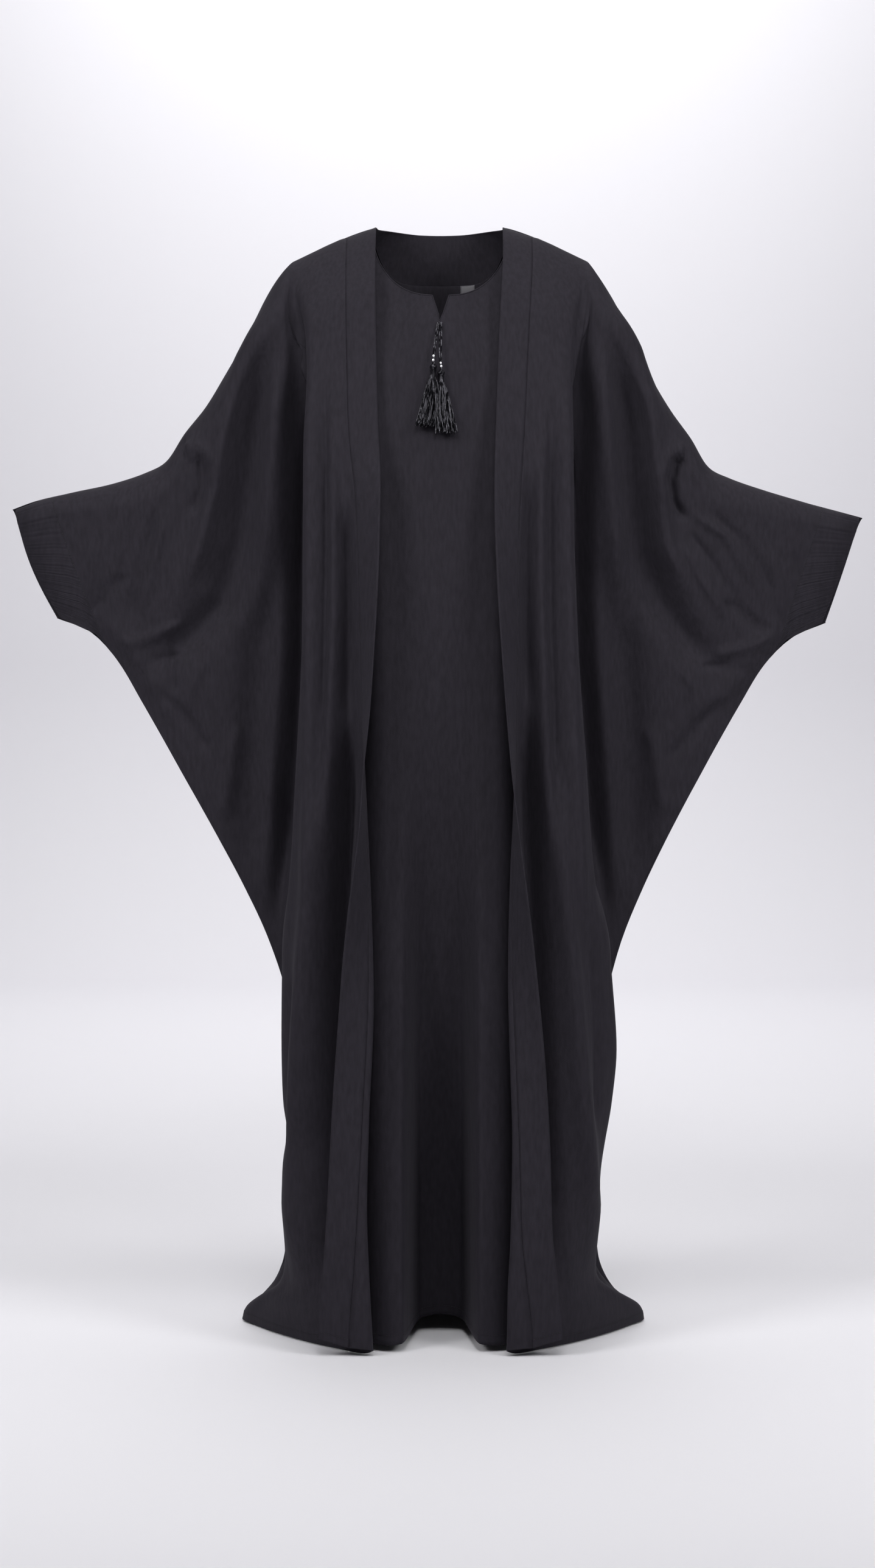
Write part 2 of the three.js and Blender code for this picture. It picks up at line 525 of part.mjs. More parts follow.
// A closed wall of even thickness about a grid. Where "atSeam" says so it ends square to a seam that lies
// in a plane of one y, so its normal there has no y in it.
function wall(grid, outwards, thickness, atSeam) {
  const columns = grid.length;
  const rows = grid[0].length;
  const normals = gridNormals(grid, outwards);
  grid.forEach((column, i) => {
    column.forEach((point, j) => {
      const normal = normals[i][j];
      const ends = column.ends ?? {};
      if (j === 0 && ends.top) normal.copy(ends.top);
      else if (j === rows - 1 && ends.foot) normal.copy(ends.foot);
      else if (atSeam(i, j, point)) normal.setY(0).normalize();
    });
  });
  const positions = [];
  for (const offset of [thickness / 2, -thickness / 2]) {
    grid.forEach((column, i) => {
      column.forEach((point, j) => {
        positions.push(...point.clone().addScaledVector(normals[i][j], offset));
      });
    });
  }
  const at = (layer, i, j) => layer * columns * rows + i * rows + j;
  const index = [];
  const quad = (a, b, c, d) => index.push(a, b, c, a, c, d);
  for (let i = 0; i + 1 < columns; i += 1) {
    for (let j = 0; j + 1 < rows; j += 1) {
      quad(at(0, i, j), at(0, i, j + 1), at(0, i + 1, j + 1), at(0, i + 1, j));
      quad(at(1, i, j), at(1, i + 1, j), at(1, i + 1, j + 1), at(1, i, j + 1));
    }
  }
  for (let i = 0; i + 1 < columns; i += 1) {
    quad(at(0, i, 0), at(0, i + 1, 0), at(1, i + 1, 0), at(1, i, 0));
    quad(at(0, i + 1, rows - 1), at(0, i, rows - 1), at(1, i, rows - 1), at(1, i + 1, rows - 1));
  }
  for (let j = 0; j + 1 < rows; j += 1) {
    quad(at(0, 0, j + 1), at(0, 0, j), at(1, 0, j), at(1, 0, j + 1));
    quad(at(0, columns - 1, j), at(0, columns - 1, j + 1), at(1, columns - 1, j + 1), at(1, columns - 1, j));
  }
  if (outwards < 0) index.reverse();
  const geometry = new THREE.BufferGeometry();
  geometry.setAttribute("position", new THREE.Float32BufferAttribute(positions, 3));
  geometry.setIndex(index);
  return geometry;
}

// Columns in out, y and z turned into x, y and z on one side of the middle.
function placed(columns, side) {
  const sign = side === "right" ? -1 : 1;
  const turn = (point) => new THREE.Vector3(sign * point.x, point.y, point.z);
  return columns.map((column) => {
    const moved = column.map(turn);
    if (column.ends) moved.ends = { top: turn(column.ends.top), foot: turn(column.ends.foot) };
    return moved;
  });
}

const crepe = (color) => new THREE.MeshStandardMaterial({ color, roughness: 0.85, metalness: 0 });
const abaya = new THREE.Group();

function add(name, geometry, material) {
  const mesh = new THREE.Mesh(geometry, material);
  mesh.name = name;
  abaya.add(mesh);
}

function addFront(side) {
  const grid = placed(laidFolds(frontColumns(side), FRONT_FOLDS[side], 1), side);
  const geometry = wall(grid, side === "right" ? -1 : 1, CLOTH, (i, j) => j === 0);
  add(`cape_front_${side}`, geometry, crepe(OUTER_COLOR));
}

function addBack() {
  const [right, left] = ["right", "left"].map((side) =>
    placed(laidFolds(backColumns(side), BACK_FOLDS[side], -1), side),
  );
  const grid = [...right.reverse(), ...left.slice(1)];
  const besideNeck = (point) => Math.abs(point.x) > NECK.half - 1;
  const geometry = wall(grid, -1, CLOTH, (i, j, point) => j === 0 && besideNeck(point));
  add("cape_back", geometry, crepe(OUTER_COLOR));
}

// The band, from its seam to its free edge. At the top it reaches up the shoulder line to the neck.
function addBand(side) {
  const top = BAND_SEAM[side][0].z;
  const columns = BAND_COLUMNS.map((share) =>
    ROWS.map((row, i) => {
      const level = mix(top, HEM_Z, row.long);
      const { seam, turn } = bandFrame(side, level);
      const reach = mix(SEAM_GAP / 2, BAND_WIDTH, share);
      const lift = -top * share * (1 - smooth(row.long / 0.12));
      const hemRise = row.long ** 8 * mix(FLAP_HEM_RISE.seam, FLAP_HEM_RISE.edge, share);
      const out = seam.out - reach * Math.cos(turn);
      const y = i === 0 ? -SEAM_GAP / 2 : seam.y - reach * Math.sin(turn);
      return new THREE.Vector3(out, y, level + lift + hemRise);
    }),
  );
  const geometry = wall(placed(columns, side), side === "right" ? 1 : -1, CLOTH, (i, j) => j === 0);
  add(`band_${side}`, geometry, crepe(OUTER_COLOR));
}

// Where a column of the inner dress begins: at the notch, the neck or the shoulder. share runs from 0 in
// the middle to 1 at the side.
function innerTop(share, isBack) {
  const { half, z, backDepth, backZ, flatness, fullness } = INNER_NECK;
  if (share > INNER_NECK_SHARE) {
    const along = (share - INNER_NECK_SHARE) / (1 - INNER_NECK_SHARE);
    return new THREE.Vector3(mix(half, INNER_SHOULDER.out, along), 0, mix(z, INNER_SHOULDER.z, along));
  }
  if (isBack) {
    const angle = ((share / INNER_NECK_SHARE) * Math.PI) / 2;
    const level = mix(backZ, z, Math.sin(angle) ** flatness);
    return new THREE.Vector3(half * Math.sin(angle), backDepth * Math.cos(angle) ** fullness, level);
  }
  if (share < NOTCH_SHARE) {
    const along = share / NOTCH_SHARE;
    return new THREE.Vector3(NOTCH.corner * along, null, mix(NOTCH.tipZ, NOTCH.cornerZ, along));
  }
  const angle = (((share - NOTCH_SHARE) / (INNER_NECK_SHARE - NOTCH_SHARE)) * Math.PI) / 2;
  const out = mix(NOTCH.corner, half, Math.sin(angle));
  return new THREE.Vector3(out, null, mix(z, NOTCH.cornerZ, Math.cos(angle)));
}

// The depth of the inner dress's front and back at a place.
function innerFrontDepth(out, z) {
  const read = (column) => atHeight(INNER_FRONT, column, z);
  const [sideOut, side] = [atHeight(INNER_SIDE, "out", z), atHeight(INNER_SIDE, "front", z)];
  const foldOut = read("foldOut");
  if (out < foldOut) {
    const rise = smooth((out - FOLD_START) / (0.8 * foldOut - FOLD_START));
    return mix(read("middle"), read("fold"), rise);
  }
  const round = Math.sqrt(1 - clamp((out - foldOut) / (sideOut - foldOut)) ** 2);
  return mix(side, read("fold"), round);
}

function innerBackDepth(out, z) {
  const side = atHeight(INNER_SIDE, "back", z);
  const round = Math.sqrt(1 - clamp(out / atHeight(INNER_SIDE, "out", z)) ** 2);
  return mix(side, atHeight(INNER_BACK, "middle", z), round);
}

// A point of the inner dress: a share across from the middle, a share down from its top edge.
function innerPoint(share, down, isBack) {
  const top = innerTop(share, isBack);
  const hem = innerHem(share, isBack);
  const z = mix(top.z, hem, down);
  const out = mix(top.x, share * atHeight(INNER_SIDE, "out", z), smooth(down / 0.2));
  const over = quarterRound((Math.min(top.z, INNER_NECK.z) - z) / INNER_SHOULDER_ROUND);
  if (isBack) return new THREE.Vector3(out, mix(top.y, innerBackDepth(out, z), over), z);
  const toShoulder = clamp((out - INNER_NECK.half) / (INNER_SHOULDER.out - INNER_NECK.half));
  const shoulderLine = mix(INNER_NECK.z, INNER_SHOULDER.z, toShoulder);
  const turned = quarterRound((shoulderLine - z) / INNER_SHOULDER_ROUND);
  return new THREE.Vector3(out, innerFrontDepth(out, z) * turned, z);
}

// The height of the inner dress's hem: lifted in the hollow between the front's folds.
function innerHem(share, isBack) {
  const { middle, fold, side } = INNER_HEM;
  if (isBack) return mix(fold, side, share);
  if (share < 0.4) return mix(middle, fold, smooth(share / 0.4));
  return mix(fold, side, smooth((share - 0.4) / 0.6));
}

function addInner(isBack) {
  const columns = (isBack ? INNER_BACK_COLUMNS : INNER_FRONT_COLUMNS).map((share) => {
    const column = INNER_ROWS.map((down) => innerPoint(share, down, isBack));
    const facing = isBack ? 1 : -1;
    if (share > INNER_NECK_SHARE - 0.01) column[0].y = (facing * SEAM_GAP) / 2;
    if (share === 1) {
      column.filter((point) => point.z < ARMHOLE_FOOT).forEach((point) => {
        point.y = (facing * SEAM_GAP) / 2;
      });
    }
    return column;
  });
  const [right, left] = ["right", "left"].map((side) => placed(columns, side));
  if (!isBack) {
    [...right[0], ...left[0]].forEach((point) => {
      point.x = NOTCH.tip * smooth((point.z + 400) / 250);
    });
  }
  const grid = [...right.reverse(), ...left.slice(1)];
  const last = grid.length - 1;
  const geometry = wall(grid, isBack ? -1 : 1, CLOTH, (i, j, point) => {
    const atShoulder = j === 0 && Math.abs(point.x) > INNER_NECK.half - 1;
    const atSide = (i === 0 || i === last) && point.z < ARMHOLE_FOOT;
    return atShoulder || atSide;
  });
  add(isBack ? "inner_back" : "inner_front", geometry, crepe(INNER_COLOR));
}

// The plain label sewn inside the inner dress's back neck.
function addLabel() {
  const inside = CLOTH / 2 + 1.5 * SEAM_GAP + LABEL.thickness / 2;
  const onBack = [LABEL.from, (LABEL.from + LABEL.to) / 2, LABEL.to].map((share) =>
    [0.5, 0.3 * LABEL.height, 0.6 * LABEL.height, LABEL.height].map((fall) =>
      innerPoint(share, fall / (INNER_NECK.backZ - HEM_Z), true),
    ),
  );
  const normals = gridNormals(onBack, 1);
  const columns = onBack.map((column, i) =>
    column.map((point, j) => point.addScaledVector(normals[i][j], -inside)),
  );
  const satin = new THREE.MeshStandardMaterial({ color: 0x8f8d94, roughness: 0.6 });
  add("neck_label", wall(columns, 1, LABEL.thickness, () => false), satin);
}

// A cord of round section with eight sides along a curve.
function addCord(name, points) {
  const circle = new THREE.Shape();
  circle.absarc(0, 0, CORD.radius, 0, 2 * Math.PI, false);
  const path = new THREE.CatmullRomCurve3(points.map((point) => new THREE.Vector3(...point)));
  const sweep = { steps: CORD.steps, curveSegments: 4, extrudePath: path };
  const geometry = new THREE.ExtrudeGeometry(circle, sweep);
  add(name, geometry, new THREE.MeshStandardMaterial({ color: 0x0b0b0d, roughness: 0.4 }));
}

const wasm = await Module();
wasm.setup();

// A geometry as a solid that can be joined to another.
function solid(geometry) {
  const bare = geometry.clone();
  bare.deleteAttribute("normal");
  bare.deleteAttribute("uv");
  const merged = mergeVertices(bare, 1e-4);
  return new wasm.Manifold(
    new wasm.Mesh({
      numProp: 3,
      vertProperties: merged.attributes.position.array,
      triVerts: new Uint32Array(merged.index.array),
    }),
  );
}

// A solid as a geometry again.
function shown(manifold) {
  const mesh = manifold.getMesh();
  const geometry = new THREE.BufferGeometry();
  geometry.setAttribute("position", new THREE.BufferAttribute(new Float32Array(mesh.vertProperties), 3));
  geometry.setIndex(new THREE.BufferAttribute(new Uint32Array(mesh.triVerts), 1));
  return geometry;
}

// One strand of a tassel: a prism through rings at its root, its middle and its tip.
function strand(centres) {
  const { radius, sides } = TASSEL_STRANDS;
  const positions = [];
  centres.forEach((centre) => {
    for (let k = 0; k < sides; k += 1) {
      const angle = (2 * Math.PI * k) / sides;
      positions.push(centre.x + radius * Math.cos(angle), centre.y + radius * Math.sin(angle), centre.z);
    }
  });
  const tip = (centres.length - 1) * sides;
  const index = [0, 1, 2, tip, tip + 2, tip + 1];
  for (let ring = 0; ring + 1 < centres.length; ring += 1) {
    for (let k = 0; k < sides; k += 1) {
      const a = ring * sides + k;
      const b = ring * sides + ((k + 1) % sides);
      index.push(a, a + sides, b, b, a + sides, b + sides);
    }
  }
  const geometry = new THREE.BufferGeometry();
  geometry.setAttribute("position", new THREE.Float32BufferAttribute(positions, 3));
  geometry.setIndex(index);
  return geometry;
}

// A tassel: a knot and a bound head, with strands that spread from inside the head.
function addTassel(side) {
  const { x, y, top, tipX, tipY, length } = TASSEL[side];
  const head = TASSEL_HEAD.map((row) => new THREE.Vector2(row.radius, row.z)).reverse();
  let whole = solid(new THREE.LatheGeometry(head, TASSEL_HEAD_SIDES).rotateX(Math.PI / 2));
  const rootZ = TASSEL_HEAD[TASSEL_HEAD.length - 1].z + TASSEL_STRANDS.rise;
  for (let k = 0; k < TASSEL_STRANDS.count; k += 1) {
    const angle = k * GOLDEN_ANGLE;
    const reach = Math.sqrt((k + 0.5) / TASSEL_STRANDS.count);
    const across = new THREE.Vector2(Math.cos(angle), Math.sin(angle)).multiplyScalar(reach);
    const tipZ = -length + 3 * Math.sin(5 * angle) * Math.cos(2.3 * k);
    const spread = new THREE.Vector2(TASSEL_STRANDS.tipX * across.x, TASSEL_STRANDS.tipY * across.y);
    const root = new THREE.Vector3(TASSEL_STRANDS.root * across.x, TASSEL_STRANDS.root * across.y, rootZ);
    const middle = new THREE.Vector3(
      0.62 * spread.x + 0.4 * tipX,
      0.7 * spread.y + 0.4 * tipY,
      mix(rootZ, tipZ, 0.4),
    );
    const tip = new THREE.Vector3(spread.x + tipX, spread.y + tipY, tipZ);
    whole = whole.add(solid(strand([root, middle, tip])));
  }
  const geometry = shown(whole);
  geometry.translate(x, y, top);
  add(`tassel_${side}`, geometry, new THREE.MeshStandardMaterial({ color: 0x0b0b0d, roughness: 0.35 }));
}

for (const side of ["right", "left"]) {
  addFront(side);
  addBand(side);
}
addBack();
addInner(false);
addInner(true);
addLabel();
for (const [name, points] of Object.entries(CORD_ROUTES)) addCord(`tassel_cord_${name}`, points);
addTassel("right");
addTassel("left");

export default abaya;
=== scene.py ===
import math
import bpy
import numpy as np
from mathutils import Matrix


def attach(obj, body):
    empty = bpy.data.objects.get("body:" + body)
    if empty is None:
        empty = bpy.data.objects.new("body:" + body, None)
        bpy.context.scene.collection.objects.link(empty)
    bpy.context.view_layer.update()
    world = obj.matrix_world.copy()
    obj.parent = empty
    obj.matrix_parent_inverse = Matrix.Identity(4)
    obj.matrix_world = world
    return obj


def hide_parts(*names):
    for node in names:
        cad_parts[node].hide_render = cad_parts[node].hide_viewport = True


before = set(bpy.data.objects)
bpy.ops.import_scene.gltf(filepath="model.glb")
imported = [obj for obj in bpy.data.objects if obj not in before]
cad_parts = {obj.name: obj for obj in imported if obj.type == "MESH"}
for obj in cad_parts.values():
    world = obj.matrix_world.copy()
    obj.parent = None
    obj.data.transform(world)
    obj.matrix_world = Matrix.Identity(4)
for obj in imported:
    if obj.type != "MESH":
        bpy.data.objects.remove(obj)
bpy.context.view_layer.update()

# The studio.
# A level camera looks straight at the front from 3.6 m, at the middle of the picture's height. The floor is
# plain and pale and curves up behind the garment, and the light comes from wide soft panels.
PICTURE_HEIGHT = 2576
FOCAL_LENGTH = 4528  # in the picture's own pixels, of which each spans 0.795 mm at the garment
FILM_HEIGHT = 36
CAMERA_PLACE = (-0.004, -3.6, -0.726)
camera_data = bpy.data.cameras.new("front_camera")
camera_data.sensor_fit = "VERTICAL"
camera_data.sensor_height = FILM_HEIGHT
camera_data.lens = FILM_HEIGHT * FOCAL_LENGTH / PICTURE_HEIGHT
camera_data.clip_start = 0.1
camera_data.clip_end = 40
camera = bpy.data.objects.new("front_camera", camera_data)
camera.location = CAMERA_PLACE
camera.rotation_euler = (math.radians(90), 0, 0)
bpy.context.scene.collection.objects.link(camera)
bpy.context.scene.camera = camera

FLOOR_Z = -1.4365
SWEEP = {"near": -8.0, "bend": 6.2, "radius": 1.2, "top": 6.0, "half": 8.0}


def plain(name, colour, roughness):
    made = bpy.data.materials.new(name)
    made.use_nodes = True
    shader = made.node_tree.nodes["Principled BSDF"]
    shader.inputs["Base Color"].default_value = (*colour, 1)
    shader.inputs["Roughness"].default_value = roughness
    return made


def mesh_object(name, points, faces, material):
    mesh = bpy.data.meshes.new(name)
    mesh.from_pydata([tuple(p) for p in points], [], [tuple(f) for f in faces])
    mesh.update()
    mesh.shade_smooth()
    made = bpy.data.objects.new(name, mesh)
    made.data.materials.append(material)
    bpy.context.scene.collection.objects.link(made)
    return made


angles = [math.radians(a) for a in range(0, 91, 6)]
profile = [(SWEEP["near"], FLOOR_Z)]
profile += [
    (SWEEP["bend"] + SWEEP["radius"] * math.sin(a), FLOOR_Z + SWEEP["radius"] * (1 - math.cos(a)))
    for a in angles
]
profile.append((profile[-1][0], SWEEP["top"]))
sweep_points = [(x, y, z) for y, z in profile for x in (-SWEEP["half"], SWEEP["half"])]
sweep_faces = [(2 * i, 2 * i + 1, 2 * i + 3, 2 * i + 2) for i in range(len(profile) - 1)]
paper = plain("studio_paper", (0.8, 0.79, 0.825), 0.9)
sweep = mesh_object("studio_floor", sweep_points, sweep_faces, paper)

# A light is its place, what it faces, the side of its panel, its spread in degrees and its power in watts.
LIGHTS = [
    ("light_left", (-2.2, -2.1, 0.9), (-0.75, 0, -0.3), 1.1, 90, 15.6),
    ("light_right", (2.2, -2.1, 0.9), (0.75, 0, -0.3), 1.1, 90, 14.2),
    ("light_front", (0.1, -2.6, 1.2), (0, 0, -0.05), 0.8, 80, 7),
    ("light_above", (0, -0.3, 2.7), (0, 0, -0.5), 2.0, 180, 5),
    ("light_near_floor", (0, -2.0, 3.0), (0, -1.5, -1.4), 1.6, 60, 10),
    ("light_far_floor", (0, 1.7, 3.0), (0, 2.3, -1.4), 3.0, 130, 36),
    ("light_paper", (0, 4.8, 3.6), (0, 7.4, -0.6), 4.0, 180, 200),
]
for name, place, aim, size, spread, power in LIGHTS:
    panel = bpy.data.lights.new(name, "AREA")
    panel.shape = "SQUARE"
    panel.size = size
    panel.spread = math.radians(spread)
    panel.energy = power
    lamp = bpy.data.objects.new(name, panel)
    lamp.location = place
    toward = np.array(aim) - np.array(place)
    level = math.hypot(toward[0], toward[1])
    lamp.rotation_euler = (math.atan2(level, -toward[2]), 0, math.atan2(toward[1], toward[0]) - math.pi / 2)
    bpy.context.scene.collection.objects.link(lamp)
ROOM_LIGHT = {"Color": (0.93, 0.93, 1, 1), "Strength": 0.1}
world = bpy.data.worlds.new("studio")
world.use_nodes = True
for socket, value in ROOM_LIGHT.items():
    world.node_tree.nodes["Background"].inputs[socket].default_value = value
bpy.context.scene.world = world
bpy.context.scene.view_settings.view_transform = "Standard"

# The tassels' cords.
# Two thin twisted cords of shiny rayon, each doubled, are sewn into the tip of the neck's notch and hang to
# the beads of their tassels, so that four strands lie side by side on the inner dress.
MM = 0.001
CORD_DIAMETER = 1.4
# Right and left are the wearer's own. A route runs down from the notch to the tassel.
CORD_ROUTES = {
    "right_outer": [(-4.2, -90.6, -138), (-6.2, -96, -152), (-8.6, -103.5, -172), (-10.3, -108.2, -193.6)],
    "right_inner": [(-2.4, -90.6, -138), (-4, -96, -152), (-6.6, -103.5, -172), (-8.5, -108.2, -193.6)],
    "left_inner": [(-0.6, -90.6, -138), (-1.2, -96, -152), (-1.6, -103.5, -174), (-0.4, -109, -201.4)],
    "left_outer": [(1.2, -90.6, -138), (1.2, -96, -152), (0.8, -103.5, -174), (1.4, -109, -201.4)],
}


def spline(points, steps):
    """A smooth curve, or a sheet of columns, through points or columns given in turn."""
    points = np.asarray(points, float)
    counts = [steps] * (len(points) - 1) if isinstance(steps, int) else steps
    whole = np.concatenate([2 * points[:1] - points[1:2], points, 2 * points[-1:] - points[-2:-1]])
    gaps = np.maximum(np.linalg.norm(np.diff(whole, axis=0), axis=-1, keepdims=True), 1e-4) ** 0.5
    made = []
    for k, count in enumerate(counts):
        before, here, there, after = whole[k:k + 4]
        g0, g1, g2 = gaps[k:k + 3]
        leave = g1 * ((here - before) / g0 - (there - before) / (g0 + g1) + (there - here) / g1)
        arrive = g1 * ((there - here) / g1 - (after - here) / (g1 + g2) + (after - there) / g2)
        for t in np.arange(count) / count:
            value = here * (2 * t**3 - 3 * t**2 + 1) + there * (3 * t**2 - 2 * t**3)
            made.append(value + leave * (t**3 - 2 * t**2 + t) + arrive * (t**3 - t**2))
    made.append(points[-1])
    return np.array(made)


def noise(made, scale, detail):
    texture = made.node_tree.nodes.new("ShaderNodeTexNoise")
    texture.inputs["Scale"].default_value = scale
    texture.inputs["Detail"].default_value = detail
    return texture


def relief(made, strength, depth):
    raised = made.node_tree.nodes.new("ShaderNodeBump")
    raised.inputs["Strength"].default_value = strength
    raised.inputs["Distance"].default_value = depth
    return raised


def link(made, joins):
    for source, output, target, socket in joins:
        made.node_tree.links.new(source.outputs[output], target.inputs[socket])


def shiny_yarn(name, colour, roughness):
    """Rayon yarn: dark, glossy in streaks, with its ply showing as fine slanting ridges."""
    made = plain(name, colour, roughness)
    nodes = made.node_tree.nodes
    shader = nodes["Principled BSDF"]
    shader.inputs["Specular Tint"].default_value = (0.9, 0.88, 1, 1)
    place = nodes.new("ShaderNodeTexCoord")
    lengthways = nodes.new("ShaderNodeMapping")
    lengthways.inputs["Scale"].default_value = (1, 1, 0.07)
    streaks = noise(made, 420, 1)
    shine = nodes.new("ShaderNodeMapRange")
    for socket, value in (("From Min", 0.42), ("From Max", 0.6), ("To Min", 0.02), ("To Max", 1)):
        shine.inputs[socket].default_value = value
    ply = nodes.new("ShaderNodeTexWave")
    ply.bands_direction = "DIAGONAL"
    ply.inputs["Scale"].default_value = 420
    ply.inputs["Distortion"].default_value = 1.5
    ridges = relief(made, 0.35, 0.0003)
    link(made, [
        (place, "Object", lengthways, "Vector"),
        (lengthways, "Vector", streaks, "Vector"),
        (streaks, "Fac", shine, "Value"),
        (shine, "Result", shader, "Specular IOR Level"),
        (place, "Object", ply, "Vector"),
        (ply, "Fac", ridges, "Height"),
        (ridges, "Normal", shader, "Normal"),
    ])
    return made


yarn = shiny_yarn("black_rayon", (0.004, 0.0038, 0.0048), 0.24)
cords = {}
for name, route in CORD_ROUTES.items():
    centre = spline(route, 6) * MM
    curve = bpy.data.curves.new(f"cord_{name}", "CURVE")
    curve.dimensions = "3D"
    curve.bevel_depth = CORD_DIAMETER * MM / 2
    curve.bevel_resolution = 3
    line = curve.splines.new("POLY")
    line.points.add(len(centre) - 1)
    for point, place in zip(line.points, centre):
        point.co = (*place, 1)
    curve.materials.append(yarn)
    cord = bpy.data.objects.new(f"cord_{name}", curve)
    bpy.context.scene.collection.objects.link(cord)
    cords[name] = (cord, float(np.linalg.norm(np.diff(centre, axis=0), axis=1).sum()))

# The beads, knots and tassels.
# Two small silver balls are threaded on each pair of cords above a knot. Below it a bound head holds a
# bunch of twisted rayon strands, cut off unevenly, which spread a little over the chest.
silver = plain("silver_bead", (0.82, 0.82, 0.84), 0.16)
silver.node_tree.nodes["Principled BSDF"].inputs["Metallic"].default_value = 1
BEADS = {
    "right": [((-8.9, -107.2, -183.6), 2.1), ((-9.5, -108.2, -189.2), 2.3)],
    "left": [((0.1, -108.3, -192.7), 1.9), ((0.7, -109.0, -197.0), 2.1)],
}
TASSELS = {
    "right": {"place": (-9.4, -108.4, -194), "tip": (-10.5, -10), "length": 78, "seed": 7},
    "left": {"place": (0.5, -109.2, -201.8), "tip": (6, -9), "length": 80, "seed": 8},
}
TASSEL_HEAD = [(0.3, 0), (2.4, -0.3), (4.3, -2.0), (4.7, -3.8), (3.6, -6.0), (2.4, -7.2), (2.5, -9),
               (3.0, -11), (3.6, -14), (3.9, -16.8), (3.6, -18.2), (0.3, -18.8)]
HEAD_SIDES = 20
STRANDS = {"count": 52, "rings": 84, "radius": 0.95, "flat": 0.7, "pitch": 14.0}
GOLDEN_ANGLE = 2.39996
# The bunch at four heights: how wide and deep it is, its shares of the way over to the tip, and its height.
BUNCH = [
    (2.7, 2.7, 0, 0, -12.5),
    (7.8, 5.2, 0.16, 0.2, -27),
    (11.2, 6, 0.5, 0.52, -54),
    (13.4, 6.5, 1, 1, None),  # at the strand's own end
]


def turned(profile, sides):
    """Points and faces of a closed shape turned about the z axis from rows of radius and height."""
    points = [
        (r * math.cos(2 * math.pi * k / sides), r * math.sin(2 * math.pi * k / sides), z)
        for r, z in profile
        for k in range(sides)
    ]
    faces = []
    for i in range(len(profile) - 1):
        for k in range(sides):
            a, b = i * sides + k, i * sides + (k + 1) % sides
            faces.append((a, a + sides, b + sides, b))
    faces.append(tuple(range(sides)))
    faces.append(tuple(reversed(range(len(points) - sides, len(points)))))
    return points, faces


def tube(rings):
    """Points and faces of a closed tube through an array of rings."""
    count, sides = rings.shape[:2]
    faces = []
    for i in range(count - 1):
        for k in range(sides):
            a, b = i * sides + k, i * sides + (k + 1) % sides
            faces.append((a, b, b + sides, a + sides))
    faces.append(tuple(reversed(range(sides))))
    faces.append(tuple(range((count - 1) * sides, count * sides)))
    return rings.reshape(-1, 3), faces


def joined(parts):
    """Several lots of points and faces as one."""
    points, faces = [], []
    for more_points, more_faces in parts:
        start = len(points)
        points.extend(tuple(p) for p in more_points)
        faces.extend(tuple(start + i for i in face) for face in more_faces)
    return points, faces


def tassel_parts(spec, rng):
    """The head and strands of one tassel about its own top, in millimetres."""
    parts = [turned(TASSEL_HEAD, HEAD_SIDES)]
    for z in np.arange(-8.2, -12.4, -1.0):
        wrap = [(2.4, z + 0.5), (3.3, z + 0.25), (3.3, z - 0.25), (2.4, z - 0.5)]
        parts.append(turned(wrap, HEAD_SIDES))
    tip_x, tip_y = spec["tip"]
    for k in range(STRANDS["count"]):
        angle = GOLDEN_ANGLE * k
        reach = math.sqrt((k + 0.5) / STRANDS["count"])
        across = np.array([math.cos(angle), math.sin(angle)]) * reach
        end = -spec["length"] + rng.normal(0, 1.8)
        wander = rng.normal(0, 1, (3, 2)) * (1.3, 0.9)
        strays = [(0, 0), (wander[2, 0] / 2, 0), wander[0], wander[1]]
        points = []
        for (wide, deep, over_x, over_y, z), (stray_x, stray_y) in zip(BUNCH, strays):
            x = wide * across[0] + over_x * tip_x + stray_x
            y = deep * across[1] + over_y * tip_y + stray_y
            points.append((x, y, end if z is None else z))
        centre = spline(points, STRANDS["rings"] // 3)
        turn = 2 * math.pi * centre[:, 2] / STRANDS["pitch"] + rng.uniform(0, 6)
        rings = []
        for corner in range(4):
            a = corner * math.pi / 2
            wide = STRANDS["radius"] * math.cos(a)
            flat = STRANDS["radius"] * STRANDS["flat"] * math.sin(a)
            x = wide * np.cos(turn) - flat * np.sin(turn)
            y = wide * np.sin(turn) + flat * np.cos(turn)
            rings.append(centre + np.stack([x, y, 0 * x], axis=1))
        parts.append(tube(np.stack(rings, axis=1)))
    return parts


BALL_ANGLES = np.linspace(0.15, math.pi - 0.15, 13)  # a ball ends in small flats where the cord runs through
for side, spec in TASSELS.items():
    points, faces = joined(tassel_parts(spec, np.random.default_rng(spec["seed"])))
    place = np.array(spec["place"])
    tassel = mesh_object(f"tassel_{side}_yarn", (np.array(points) + place) * MM, faces, yarn)
    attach(tassel, "root")
    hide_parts(f"tassel_{side}")
    balls = []
    for centre, radius in BEADS[side]:
        ball = [(radius * math.sin(a) + 0.05, radius * math.cos(a)) for a in BALL_ANGLES]
        ball_points, ball_faces = turned(ball, HEAD_SIDES)
        balls.append((np.array(ball_points) + centre, ball_faces))
    points, faces = joined(balls)
    beads = mesh_object(f"beads_{side}", np.array(points) * MM, faces, silver)
    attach(beads, "root")
for name, (cord, length) in cords.items():
    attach(cord, "root")
    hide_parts(f"tassel_cord_{name}")

